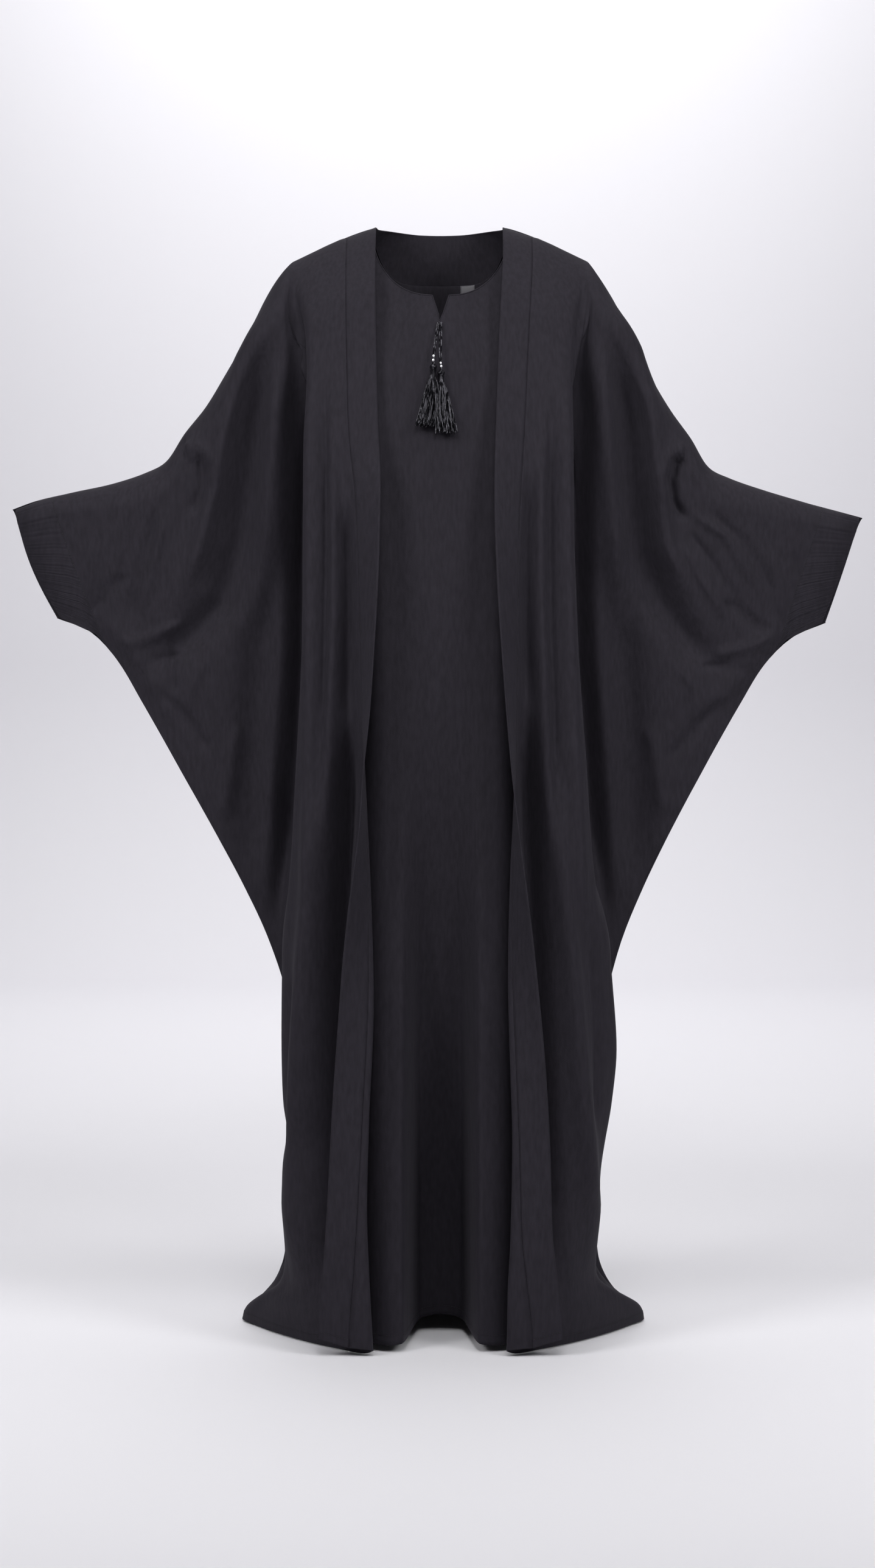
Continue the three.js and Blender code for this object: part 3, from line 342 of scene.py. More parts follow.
# The fronts of the outer dress.
# Each front is one piece of matte black crepe, cut in one with the front of its sleeve and sewn to the back
# over the shoulder and arm, and along the underarm and side. Its straight front edge carries a band.
HEM_Z = -1434.4  # the hem, just clear of the floor
CLOTH = 1.1  # the cloth's thickness
SEAM_GAP = 0.3  # what two sewn pieces lie apart
SHOULDER = (190, -44)  # the shoulder point, as out and z
NECK_HALF = 83
SHOULDER_ROUND = 110  # the cloth rounds the shoulders over this height
FLAP_HEM_RISE = (9, 20)  # the hem's rise at the band's two long edges
SLEEVE_ROUND = 4  # half the depth of the sleeve at its lower seam
CUFF_BACK_OUT = 5  # the back of the cuff shows this far beyond the front
CUFF_BOW = {"right": 8, "left": 1}
CUFF_HEIGHT = 152
SIDE_HEIGHT = 1390
ROW_STEPS = 8


def mix(a, b, t):
    return a + (b - a) * t


def smooth(t):
    t = np.clip(t, 0, 1)
    return t * t * (3 - 2 * t)


def quarter_round(t):
    return np.sqrt(1 - (1 - np.clip(t, 0, 1)) ** 2)


def table(names, rows):
    return dict(zip(names.split(), np.array(rows, float).T))


def read(rows, name, z):
    """A table's column at a height between its rows, which go down from the top, on a smooth curve."""
    values, down = rows[name], rows["z"][0] - rows["z"]
    depth = np.clip(rows["z"][0] - z, 0, down[-1])
    i = np.clip(np.searchsorted(down, depth) - 1, 0, len(down) - 2)
    low, high = np.maximum(np.arange(len(down)) - 1, 0), np.minimum(np.arange(len(down)) + 1, len(down) - 1)
    slopes = (values[high] - values[low]) / (down[high] - down[low])
    span = down[i + 1] - down[i]
    t = (depth - down[i]) / span
    bend = slopes[i] * t * (1 - t) ** 2 - slopes[i + 1] * t * t * (1 - t)
    return mix(values[i], values[i + 1], smooth(t)) + span * bend


def seam_line(points):
    """Places along a seam, by their share of its length."""
    line = spline(points, 80)
    along = np.concatenate([[0], np.cumsum(np.linalg.norm(np.diff(line, axis=0), axis=1))])
    along /= along[-1]
    return lambda share: np.stack([np.interp(share, along, line[:, k]) for k in range(3)], axis=-1)


def shoulder_line(out):
    return SHOULDER[1] * np.clip((out - NECK_HALF) / (SHOULDER[0] - NECK_HALF), 0, 1) ** 1.25


OVERARM = {
    "right": seam_line([(190, 0, -44), (211, 0, -68), (227, 0, -92), (250, 0, -139), (277, 0, -187),
                        (306, 0, -235), (344, 0, -283), (358, 0, -306), (416, 0, -331), (516, 0, -354),
                        (554, 0, -368)]),
    "left": seam_line([(190, 0, -44), (208, 0, -68), (224, 0, -92), (245, 0, -139), (269, 0, -187),
                       (297, 0, -235), (331, 0, -283), (347, 0, -311), (381, 0, -329), (456, 0, -353),
                       (546, 0, -379)]),
}
UNDERARM = {
    "right": seam_line([(252, 98, HEM_Z), (246, 88, -1422), (222, 64, -1396), (198, 42, -1352),
                        (186, 26, -1250), (183, 14, -1150), (190, 5, -1060), (205, 0, -983), (235, 0, -903),
                        (284, 0, -807), (337, 0, -712), (391, 0, -616), (434, 0, -547), (463, 0, -521),
                        (486, 0, -516), (496, 0, -509)]),
    "left": seam_line([(256, 98, HEM_Z), (250, 88, -1422), (224, 64, -1396), (198, 42, -1352),
                       (188, 26, -1250), (192, 14, -1150), (206, 5, -1060), (224, 0, -968), (250, 0, -894),
                       (290, 0, -807), (340, 0, -712), (394, 0, -616), (438, 0, -549), (462, 0, -531),
                       (490, 0, -521), (498, 0, -515)]),
}
# The sleeve's columns join these shares of the overarm seam to these of the side and underarm seam.
SLEEVE = table("top foot", [
    (0.01, 0), (0.024, 0.08), (0.045, 0.16), (0.08, 0.25), (0.125, 0.35), (0.18, 0.44), (0.25, 0.52),
    (0.34, 0.59), (0.43, 0.65), (0.515, 0.7), (0.602, 0.747), (0.66, 0.79), (0.75, 0.85), (0.85, 0.905),
    (0.94, 0.955), (1, 1),
])
# Half the sleeve's depth at the arm, in ten even steps along the overarm seam.
ARM_HALVES = [72, 60, 52, 48, 46, 45, 44, 38, 32, 26, 21]
# How far over the sleeve the edge of the body still shapes it.
JOIN = table("z reach", [(-44, 0.5), (-140, 0.36), (-300, 0.17), (-860, 0.16), (-1060, 0.26), (HEM_Z, 0.26)])
# The rows of a sheet, as shares of a long column and of a short one at the cuff.
ROWS = table("long short", [
    (0, 0), (0.004, 0.03), (0.014, 0.09), (0.03, 0.17), (0.052, 0.25), (0.08, 0.33), (0.115, 0.4),
    (0.155, 0.46), (0.2, 0.52), (0.245, 0.57), (0.29, 0.615), (0.335, 0.655), (0.385, 0.695), (0.44, 0.735),
    (0.495, 0.77), (0.55, 0.8), (0.605, 0.83), (0.66, 0.855), (0.72, 0.88), (0.78, 0.905), (0.84, 0.93),
    (0.9, 0.95), (0.945, 0.968), (0.977, 0.982), (0.992, 0.991), (1, 1),
])
LAST_ROW = len(ROWS["long"]) - 1
FINE = np.linspace(0, LAST_ROW, LAST_ROW * ROW_STEPS + 1)
LONG = np.interp(FINE, np.arange(LAST_ROW + 1), ROWS["long"])
SHORT = np.interp(FINE, np.arange(LAST_ROW + 1), ROWS["short"])

# The band's seam: its place, how far the band has turned outwards in degrees, and how far the front rolls.
BAND_SEAM = {
    "right": table("z out y turn roll", [
        (-13.8, 122, -50, 0, 0), (-61, 122, -62, 2, 0), (-113, 121, -82, 4, 0), (-200, 119, -101, 6, 0),
        (-285, 116, -112, 10, 0), (-359, 108, -120, 32, 0), (-451, 104, -126, 46, 0),
        (-537, 101, -131, 60, 0), (-635, 99, -136, 74, 0), (-708, 96, -140, 90, 1),
        (-790, 93, -147, 104, 3), (-900, 91, -157, 132, 6), (-1010, 91, -168, 158, 5),
        (-1133, 97, -178, 174, 7), (-1254, 103, -184, 178, 10), (-1323, 107, -186, 180, 16),
        (-1405, 113, -185, 180, 26), (HEM_Z, 114, -183, 180, 29),
    ]),
    "left": table("z out y turn roll", [
        (-12.6, 119, -50, 0, 0), (-61, 118, -62, 4, 0), (-138, 113, -88, 6, 0), (-260, 107, -110, 14, 0),
        (-379, 100, -121, 32, 0), (-488, 97, -129, 48, 0), (-586, 96, -135, 62, 0),
        (-700, 94, -141, 80, 1), (-766, 92, -145, 94, 2), (-850, 90, -153, 114, 4),
        (-966, 90, -164, 140, 5), (-1079, 94, -174, 160, 6), (-1181, 98, -181, 172, 8),
        (-1293, 101, -186, 178, 13), (-1353, 107, -187, 180, 22), (-1410, 113, -186, 180, 29),
        (HEM_Z, 114, -184, 180, 31),
    ]),
}
# The edge between the body and the sleeve, below the shoulder point.
FRONT_EDGE = {
    "right": table("z out y", [
        (-44, 190, -56), (-112, 188, -60), (-176, 184, -74), (-270, 176, -87), (-337, 173, -94),
        (-452, 173, -100), (-535, 180, -100), (-659, 189, -95), (-766, 195, -90), (-941, 201, -80),
        (-1063, 203, -72), (-1133, 200, -69), (-1180, 191, -67), (-1228, 192, -63), (-1290, 196, -58),
        (-1347, 200, -48), (-1375, 211, -32), (-1390, 230, -8), (-1409, 250, 28), (-1420, 258, 42),
        (HEM_Z, 262, 52),
    ]),
    "left": table("z out y", [
        (-44, 190, -56), (-112, 181, -60), (-187, 174, -77), (-337, 176, -94), (-462, 185, -99),
        (-584, 195, -96), (-708, 205, -91), (-790, 209, -87), (-952, 217, -77), (-1063, 225, -70),
        (-1133, 219, -68), (-1180, 211, -66), (-1228, 202, -62), (-1262, 194, -60), (-1351, 198, -48),
        (-1370, 208, -36), (-1390, 234, -8), (-1409, 258, 28), (-1420, 266, 42), (HEM_Z, 269, 52),
    ]),
}
# A fold is its height, its width, and its path in steps of out and z. One below zero is a trough.
FRONT_FOLDS = {
    "right": [
        (-38, 11, [(192, -60), (188, -130), (187, -305), (190, -431), (193, -557), (206, -760), (214, -940)]),
        (-14, 26, [(214, -380), (226, -500), (238, -620), (246, -740), (240, -860)]),
        (12, 16, [(210, -180), (216, -300), (226, -432), (246, -540)]),
        (-20, 20, [(231, -140), (242, -230), (251, -330), (262, -415), (284, -491), (336, -545),
                   (392, -580)]),
        (16, 14, [(206, -100), (248, -180), (278, -270), (292, -340), (312, -420), (340, -500)]),
        (-5, 4, [(333, -272), (335, -296), (328, -312), (318, -318)]),
        (5, 5, [(336, -296), (322, -289), (304, -298), (296, -320)]),
        (-9, 9, [(318, -300), (307, -318), (306, -344), (320, -380)]),
        (-5, 5, [(366, -360), (372, -392), (384, -440), (408, -520)]),
        (4, 5, [(356, -372), (362, -410), (374, -450), (394, -510)]),
        (4, 5, [(404, -352), (412, -410), (428, -470)]),
        (6, 6, [(420, -546), (378, -536), (330, -514)]),
        (-5, 5, [(352, -530), (350, -570), (348, -612)]),
        (-4, 5, [(462, -512), (430, -470), (404, -452)]),
        (4, 5, [(468, -506), (452, -452), (446, -408)]),
        (-4, 5, [(396, -592), (372, -566), (330, -556)]),
        (3, 5, [(302, -560), (322, -600), (336, -650)]),
        (6, 14, [(340, -645), (395, -560), (440, -500)]),
        (-5, 9, [(300, -690), (330, -640), (372, -600)]),
        (5, 9, [(262, -640), (276, -720), (286, -780)]),
        (11, 11, [(166, -160), (164, -420), (164, -640), (166, -800), (168, -900)]),
        (-6, 6, [(148, -180), (146, -420), (152, -700)]),
        (8, 7, [(136, -260), (134, -500), (142, -700), (150, -840)]),
        (-14, 8, [(122, -360), (118, -470), (117, -560), (118, -660)]),
        (-42, 11, [(112, -600), (121, -790), (136, -950), (146, -1120), (153, -1250), (158, -1410)]),
        (15, 13, [(150, -700), (162, -840), (174, -1000), (182, -1150), (186, -1270), (182, -1390)]),
        (-5, 6, [(186, -940), (192, -1080), (190, -1220)]),
    ],
    "left": [
        (-34, 11, [(190, -60), (188, -140), (183, -310), (184, -425), (190, -560), (202, -700), (218, -940)]),
        (-14, 26, [(216, -400), (230, -500), (242, -620), (250, -760), (246, -870)]),
        (12, 16, [(208, -150), (214, -280), (226, -432), (238, -550)]),
        (-20, 20, [(226, -130), (244, -240), (251, -344), (261, -425), (287, -491), (327, -547),
                   (384, -590)]),
        (16, 14, [(204, -90), (246, -170), (272, -260), (280, -344), (292, -420), (330, -500)]),
        (-11, 6, [(321, -300), (304, -312), (297, -334), (300, -360), (320, -388)]),
        (6, 6, [(322, -288), (296, -304), (287, -330), (292, -372)]),
        (4, 5, [(322, -376), (368, -405), (412, -472)]),
        (-4, 5, [(342, -368), (392, -412), (440, -490)]),
        (-4, 5, [(318, -396), (352, -440), (398, -508)]),
        (4, 5, [(310, -410), (336, -460), (372, -514)]),
        (-6, 6, [(366, -486), (400, -510), (434, -534)]),
        (6, 7, [(352, -560), (396, -548), (436, -530)]),
        (4, 5, [(448, -520), (440, -468), (424, -420)]),
        (-4, 5, [(458, -514), (466, -460), (460, -420)]),
        (-4, 5, [(400, -584), (376, -572), (336, -574)]),
        (3, 5, [(308, -570), (330, -606), (338, -664)]),
        (6, 14, [(346, -640), (400, -566), (444, -505)]),
        (-5, 9, [(296, -700), (334, -650), (380, -610)]),
        (5, 9, [(270, -640), (284, -720), (294, -776)]),
        (11, 11, [(158, -160), (160, -420), (166, -640), (176, -840), (186, -960)]),
        (-7, 6, [(142, -220), (140, -460), (148, -760)]),
        (8, 7, [(126, -260), (126, -500), (134, -720), (140, -860)]),
        (-14, 8, [(112, -320), (108, -430), (109, -540), (110, -640)]),
        (-31, 11, [(106, -580), (113, -790), (124, -950), (134, -1110), (143, -1250), (152, -1410)]),
        (15, 13, [(142, -700), (154, -860), (168, -1020), (180, -1160), (188, -1270), (190, -1390)]),
        (-5, 6, [(190, -900), (198, -1040), (194, -1180)]),
    ],
}
FOLD_FADE = 0.2  # the share of its path over which a fold fades at each end


def fold_lift(folds, out, z):
    """How far the folds lift the cloth: most on a path, fading over its width and at its ends."""
    lift = np.zeros_like(out)
    for height, width, path in folds:
        path = np.array(path, float)
        legs = np.diff(path, axis=0)
        lengths = np.hypot(legs[:, 0], legs[:, 1])
        nearest, along, before = np.full(out.shape, 1e9), np.zeros(out.shape), 0
        for start, leg, length in zip(path, legs, lengths):
            t = np.clip(((out - start[0]) * leg[0] + (z - start[1]) * leg[1]) / length**2, 0, 1)
            gap = np.hypot(out - start[0] - leg[0] * t, z - start[1] - leg[1] * t)
            closer = gap < nearest
            nearest = np.where(closer, gap, nearest)
            along = np.where(closer, (before + t * length) / lengths.sum(), along)
            before += length
        ends = smooth(along / FOLD_FADE) * smooth((1 - along) / FOLD_FADE)
        lift += height * np.exp(-((nearest / width) ** 2)) * ends
    return lift


def body_edge(rows, z):
    return read(rows, "out", z), read(rows, "y", z) * quarter_round((SHOULDER[1] - z) / SHOULDER_ROUND)


def edge_column(rows, facing):
    z = mix(SHOULDER[1], HEM_Z, LONG)
    out, y = body_edge(rows, z)
    y[0] = facing * SEAM_GAP / 2
    return np.stack([out, y, z], axis=-1)


def sleeve_columns(side, facing, edge_rows):
    """The columns of a sleeve, from the overarm seam down to the underarm or the side seam."""
    top, foot = OVERARM[side](SLEEVE["top"]), UNDERARM[side](SLEEVE["foot"])
    hem_out = UNDERARM[side](0)[0]
    length = np.hypot(foot[:, 0] - top[:, 0], foot[:, 2] - top[:, 2])[:, None]
    longness = np.clip((length - CUFF_HEIGHT) / (SIDE_HEIGHT - CUFF_HEIGHT), 0, 1)
    half = np.interp(SLEEVE["top"] * 10, range(11), ARM_HALVES)[:, None]
    round_off = np.minimum(half, 0.4 * length)
    round_side = (0.07 + 0.93 * SLEEVE["foot"])[:, None]
    beside = 1 - smooth(round_side / 0.5)
    at_cuff = smooth((SLEEVE["top"] - 0.85) / 0.15)[:, None]
    share = mix(SHORT[None], LONG[None], longness)

    def hang(share, swell):
        z = mix(top[:, 2:], foot[:, 2:], share)
        edge_out, edge_y = body_edge(edge_rows, z)
        straight = mix(SHOULDER[0], hem_out, (SHOULDER[1] - z) / (SHOULDER[1] - HEM_Z))
        out = mix(top[:, :1], foot[:, :1], share) + beside * (edge_out - straight)
        fallen = np.clip((share * length - round_off) / (length - round_off), 0, 1)
        lift = quarter_round(share * length / round_off) * mix(half, SLEEVE_ROUND, fallen)
        free = facing * lift * swell + foot[:, 1:2] * share**8
        return out, mix(edge_y, free, smooth(round_side / read(JOIN, "reach", z))), z

    miss_out, miss_y, _ = hang(np.ones_like(length), 0)
    out, y, z = hang(share, 1)
    out = out - (miss_out - foot[:, :1]) * smooth((share - 0.5) / 0.5)
    y = y - (miss_y - foot[:, 1:2]) * share**8
    grid = np.stack([out, y, z], axis=-1)
    grid[:, 0] = top
    grid[:, -1] = foot
    grid[:, 0, 1] = facing * SEAM_GAP / 2
    grid[:, -1, 1] = foot[:, 1] + facing * SEAM_GAP / 2
    further_out = CUFF_BACK_OUT if facing > 0 else 0
    grid[:, :, 0] += at_cuff * (further_out + CUFF_BOW[side] * np.sin(math.pi * share))
    return grid


def band_frame(side, z):
    rows = BAND_SEAM[side]
    turn = np.radians(read(rows, "turn", z))
    y = read(rows, "y", z) * quarter_round((rows["z"][0] - z) / SHOULDER_ROUND)
    return read(rows, "out", z), y, turn, read(rows, "roll", z)


ROLL_LEAST, ROLL_BACK, ROLL_BEHIND = 7, 9, 10  # the roll's least reach, and the two legs of cloth behind it


def roll_columns(side):
    """The front's columns beside its band: the seam, the turn of the roll, and the cloth behind it."""
    top = BAND_SEAM[side]["z"][0]
    seam_out, seam_y, turn, roll = band_frame(side, mix(top, HEM_Z, LONG))
    reach = np.maximum(ROLL_LEAST, roll)
    tip = (seam_out + reach * np.cos(turn), seam_y + reach * np.sin(turn))
    back = (tip[0] + ROLL_BACK * np.cos(turn / 2), tip[1] + ROLL_BACK * np.sin(turn / 2))
    behind = (back[0] + ROLL_BEHIND * np.cos(turn / 8), back[1] + ROLL_BEHIND * np.sin(turn / 8))
    seam = (seam_out + SEAM_GAP / 2 * np.cos(turn), seam_y + SEAM_GAP / 2 * np.sin(turn))
    columns = []
    for k, (out, y) in enumerate([seam, tip, back, behind]):
        start = top if k == 0 else shoulder_line(out[0])
        z = mix(start, HEM_Z, LONG) + LONG**8 * FLAP_HEM_RISE[0] * (1 - k / 3)
        y = y.copy()
        y[0] = -SEAM_GAP / 2
        columns.append(np.stack([out, y, z], axis=-1))
    return columns


BODY_COLUMNS = (0.16, 0.33, 0.5, 0.67, 0.84)  # shares of the way from the roll to the body's edge


def front_columns(side):
    edge, roll = edge_column(FRONT_EDGE[side], -1), roll_columns(side)
    body = []
    for share in BODY_COLUMNS:
        roundness = mix(0.6, 0.3, smooth((LONG - 0.9) / 0.1))
        out_share = mix(share, math.sin(share * math.pi / 2), roundness)
        back_share = mix(share, 1 - math.cos(share * math.pi / 2), roundness)
        shares = np.stack([out_share, back_share, out_share], axis=-1)
        body.append(mix(roll[3], edge, shares))
    return np.concatenate([roll, body, [edge], sleeve_columns(side, -1, FRONT_EDGE[side])])


def grid_normals(grid, outwards):
    across, down = np.gradient(grid, axis=0), np.gradient(grid, axis=1)
    normal = np.cross(down, across) * outwards
    return normal / np.maximum(np.linalg.norm(normal, axis=-1, keepdims=True), 1e-9)


def laid_folds(grid, folds, outwards, column_steps, seam_columns=0):
    """The folds laid on a sheet. They fade at its seams so that the pieces meet."""
    columns, rows = np.arange(len(grid)), np.arange(grid.shape[1])
    side_fade = smooth((columns[-1] - columns) / column_steps[-1])
    if seam_columns:
        side_fade *= smooth(columns / seam_columns)
    end_fade = smooth(np.minimum(rows, rows[-1] - rows) / ROW_STEPS)
    lift = fold_lift(folds, grid[..., 0], grid[..., 2]) * side_fade[:, None] * end_fade[None]
    return grid + grid_normals(grid, outwards) * lift[..., None]


HEM_LIFT, CUFF_LIFT, PUCKER = 0.35, 0.45, 0.5


def hemmed(grid, outwards, hem_columns, cuff_columns):
    """A sheet with its hem and cuff turned up: both stand a little proud, and the cuff is puckered."""
    columns, rows = np.arange(len(grid)), np.arange(grid.shape[1])
    hem = smooth((rows - (rows[-1] - ROW_STEPS - 1)) / 2)[None] * (columns <= hem_columns)[:, None]
    cuff = smooth((columns - (columns[-1] - cuff_columns - 1)) / 2)[:, None] * np.ones_like(rows)[None]
    pucker = PUCKER * np.sin(1.9 * rows + 1.3 * np.sin(0.47 * rows)) * np.sin(0.31 * rows + 1)
    fade = smooth(np.minimum(rows, rows[-1] - rows) / ROW_STEPS)
    lift = HEM_LIFT * hem + cuff * (CUFF_LIFT + pucker)[None] * fade[None]
    return grid + grid_normals(grid, outwards) * lift[..., None]


def placed(grid, side):
    return grid * ((-1 if side == "right" else 1), 1, 1)


def crepe(name, colour):
    """Matte crepe: dark and dry, with a fine pebbled grain, faint slubs, and soft rumples along it."""
    made = plain(name, colour, 0.8)
    nodes = made.node_tree.nodes
    shader = nodes["Principled BSDF"]
    shader.inputs["Specular IOR Level"].default_value = 0.12
    shader.inputs["Sheen Weight"].default_value = 0.035
    shader.inputs["Sheen Roughness"].default_value = 0.5
    shader.inputs["Sheen Tint"].default_value = (0.75, 0.7, 0.82, 1)
    place = nodes.new("ShaderNodeTexCoord")
    along = nodes.new("ShaderNodeMapping")
    along.inputs["Scale"].default_value = (1, 1, 0.22)
    patches = noise(made, 260, 6)
    ramp = nodes.new("ShaderNodeValToRGB")
    for k, (position, shade) in enumerate([(0.3, 0.84), (0.7, 1.16)]):
        ramp.color_ramp.elements[k].position = position
        ramp.color_ramp.elements[k].color = (*(shade * c for c in colour), 1)
    pebble, slub, rumple = noise(made, 900, 3), noise(made, 130, 2), noise(made, 26, 3)
    rumpled, grain, uneven = relief(made, 0.3, 0.006), relief(made, 0.5, 0.0004), relief(made, 0.25, 0.0006)
    link(made, [
        (place, "Object", along, "Vector"),
        (along, "Vector", patches, "Vector"),
        (patches, "Fac", ramp, "Fac"),
        (ramp, "Color", shader, "Base Color"),
        (place, "Object", pebble, "Vector"),
        (place, "Object", slub, "Vector"),
        (along, "Vector", rumple, "Vector"),
        (rumple, "Fac", rumpled, "Height"),
        (pebble, "Fac", grain, "Height"),
        (slub, "Fac", uneven, "Height"),
        (rumpled, "Normal", grain, "Normal"),
        (grain, "Normal", uneven, "Normal"),
        (uneven, "Normal", shader, "Normal"),
    ])
    return made


def cloth(name, grid, material, node, thickness=CLOTH):
    """A sheet of cloth of even thickness through a grid in millimetres, which stands for a plain solid."""
    columns, rows = grid.shape[:2]
    at = np.arange(columns * rows).reshape(columns, rows)
    faces = np.stack([at[:-1, :-1], at[:-1, 1:], at[1:, 1:], at[1:, :-1]], axis=-1).reshape(-1, 4)
    made = mesh_object(name, grid.reshape(-1, 3) * MM, faces, material)
    wall = made.modifiers.new("cloth", "SOLIDIFY")
    wall.thickness = thickness * MM
    wall.offset = 0
    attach(made, "root")
    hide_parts(node)
    return made


outer_crepe = crepe("outer_black_crepe", (0.0182, 0.0162, 0.0215))
ROLL_STEPS = [3, 4, 3]
FRONT_STEPS = ROLL_STEPS + [5] * 6 + [6] * 2 + [7] * 12 + [14]  # between columns, from the band to the cuff
FRONT_HEM = sum(FRONT_STEPS[:10])  # the sheet's columns up to this one end at the hem
CUFF_HEM = 6  # the cuff is turned up over this many columns
front_grids = {}
for side in ("right", "left"):
    sheet = spline(front_columns(side), FRONT_STEPS)
    sheet = laid_folds(sheet, FRONT_FOLDS[side], 1, FRONT_STEPS, sum(ROLL_STEPS))
    front_grids[side] = grid = placed(hemmed(sheet, 1, FRONT_HEM, CUFF_HEM), side)
    front = cloth(f"front_{side}_cloth", grid, outer_crepe, f"cape_front_{side}")

# The front bands.
# A straight band of the same crepe, folded double, is sewn along each front edge from the neck to the hem.
# From mid-height it rolls back outwards with the edge of its front, and shows its inner side at the hem.
BAND_WIDTH = 38
BAND_THICK = 1.5
BAND_SHARES = np.linspace(0, 1, 13)
band_grids = {}
for side in ("right", "left"):
    top = BAND_SEAM[side]["z"][0]
    level = mix(top, HEM_Z, LONG)
    seam_out, seam_y, turn, _ = band_frame(side, level)
    columns = []
    for share in BAND_SHARES:
        reach = mix(SEAM_GAP / 2, BAND_WIDTH, share)
        rise = -top * share * (1 - smooth(LONG / 0.12)) + LONG**8 * mix(*FLAP_HEM_RISE, share)
        y = seam_y - reach * np.sin(turn)
        y[0] = -SEAM_GAP / 2
        columns.append(np.stack([seam_out - reach * np.cos(turn), y, level + rise], axis=-1))
    band_grids[side] = grid = placed(np.array(columns), side)
    band = cloth(f"band_{side}_cloth", grid, outer_crepe, f"band_{side}", BAND_THICK)

# The back of the outer dress.
# One piece of crepe, cut in one with the backs of both sleeves. Its neck edge shows behind the open neck,
# it hangs in loose folds from the shoulders, and its hem trails a little on the floor behind.
NECK_BACK = 85
NECK_RISE = 6.5
NECK_SHARE = 0.44
BACK_EDGE = table("z out y", [
    (-44, 190, 56), (-112, 188, 62), (-200, 184, 82), (-337, 181, 94), (-535, 184, 96), (-766, 192, 97),
    (-983, 198, 98), (-1180, 190, 101), (-1290, 190, 106), (-1347, 192, 114), (-1385, 202, 126),
    (-1405, 220, 138), (-1422, 240, 152), (HEM_Z, 246, 160),
])
BACK_MIDDLE = table("z y", [
    (NECK_RISE, NECK_BACK), (-20, 93), (-60, 102), (-120, 112), (-200, 119), (-300, 121), (-450, 118),
    (-700, 122), (-983, 134), (-1200, 148), (-1340, 162), (-1400, 182), (-1424, 204), (HEM_Z, 222),
])
BACK_FOLDS = {
    "right": [
        (12, 22, [(232, -240), (244, -380), (262, -500), (300, -590)]),
        (-14, 22, [(272, -210), (290, -340), (316, -450), (372, -540)]),
        (8, 18, [(318, -300), (344, -400), (398, -480)]),
        (-20, 20, [(148, -330), (142, -620), (136, -1000), (150, -1350)]),
        (16, 18, [(108, -260), (102, -620), (92, -1000), (98, -1400)]),
        (-12, 18, [(66, -380), (58, -700), (48, -1040), (52, -1400)]),
        (14, 18, [(24, -300), (14, -700), (8, -1100), (2, -1420)]),
    ],
    "left": [
        (12, 22, [(226, -230), (248, -390), (266, -510), (306, -600)]),
        (-13, 22, [(266, -220), (286, -350), (320, -460), (368, -530)]),
        (8, 18, [(312, -310), (350, -410), (392, -470)]),
        (-19, 20, [(156, -300), (146, -600), (146, -1000), (140, -1350)]),
        (18, 18, [(116, -280), (110, -640), (104, -1040), (86, -1410)]),
        (-13, 18, [(72, -340), (68, -700), (60, -1080), (42, -1380)]),
    ],
}
BODY_SHARES = np.concatenate([np.linspace(0, NECK_SHARE, 21), np.linspace(NECK_SHARE, 1, 27)[1:-1]])
BACK_STEPS = [4] * 15 + [12]  # between the columns of a sleeve's back, from the body to the cuff
BACK_HEM = len(BODY_SHARES) + BACK_STEPS[0]  # each half's columns up to this one end at the hem


def back_half(side):
    edge = edge_column(BACK_EDGE, 1)
    body = []
    for share in BODY_SHARES:
        angle = min(1, share / NECK_SHARE) * math.pi / 2
        if share <= NECK_SHARE:
            rise = NECK_RISE * (1 - math.sin(angle) ** 8)
            top = (NECK_HALF * math.sin(angle), NECK_BACK * math.cos(angle), rise)
        else:
            out = mix(NECK_HALF, SHOULDER[0], (share - NECK_SHARE) / (1 - NECK_SHARE))
            top = (out, 0, float(shoulder_line(out)))
        z = mix(top[2], HEM_Z, LONG)
        over = quarter_round((top[2] - z) / SHOULDER_ROUND)
        out = edge[:, 0] * mix(share, math.sin(share * math.pi / 2), 0.5)
        middle_share = mix(1 - share, math.cos(share * math.pi / 2), 0.6)
        y = mix(read(BACK_EDGE, "y", z), read(BACK_MIDDLE, "y", z), middle_share)
        y = mix(top[1], y, over)
        y[0] += SEAM_GAP / 2
        body.append(np.stack([mix(top[0], out, over), y, z], axis=-1))
    sleeve = spline(np.concatenate([[edge], sleeve_columns(side, 1, BACK_EDGE)]), BACK_STEPS)
    sheet = laid_folds(np.concatenate([body, sleeve]), BACK_FOLDS[side], -1, BACK_STEPS)
    return hemmed(sheet, -1, BACK_HEM, CUFF_HEM)


right_half, left_half = (placed(back_half(side), side) for side in ("right", "left"))
back_grid = np.concatenate([right_half[::-1], left_half[1:]])
back = cloth("back_cloth", back_grid, outer_crepe, "cape_back")

# The inner dress.
# A plain sleeveless dress of the same crepe, worn under the open one, in a front and a back sewn at the
# shoulders and sides. Its neck is round, with a small notch in front.
INNER_NECK = {"half": 88, "z": -10, "back": 96, "back_z": -59}
INNER_SHOULDER = (148, float(shoulder_line(148.0)) - 1.9)
INNER_ROUND = 80
NOTCH = {"corner": 11, "corner_z": -101, "tip": -1.5, "tip_z": -136, "share": 0.07}
INNER_NECK_SHARE = 0.58
INNER_FRONT = table("z middle fold foldOut", [
    (-10, -46, -32, 80), (-100, -74, -60, 80), (-136, -88, -75, 80), (-200, -101, -94, 80),
    (-285, -109, -103, 78), (-400, -111, -107, 72), (-560, -111, -114, 68), (-760, -100, -122, 68),
    (-1000, -76, -133, 68), (-1190, -48, -144, 66), (-1300, -32, -150, 64), (HEM_Z, -24, -155, 62),
])
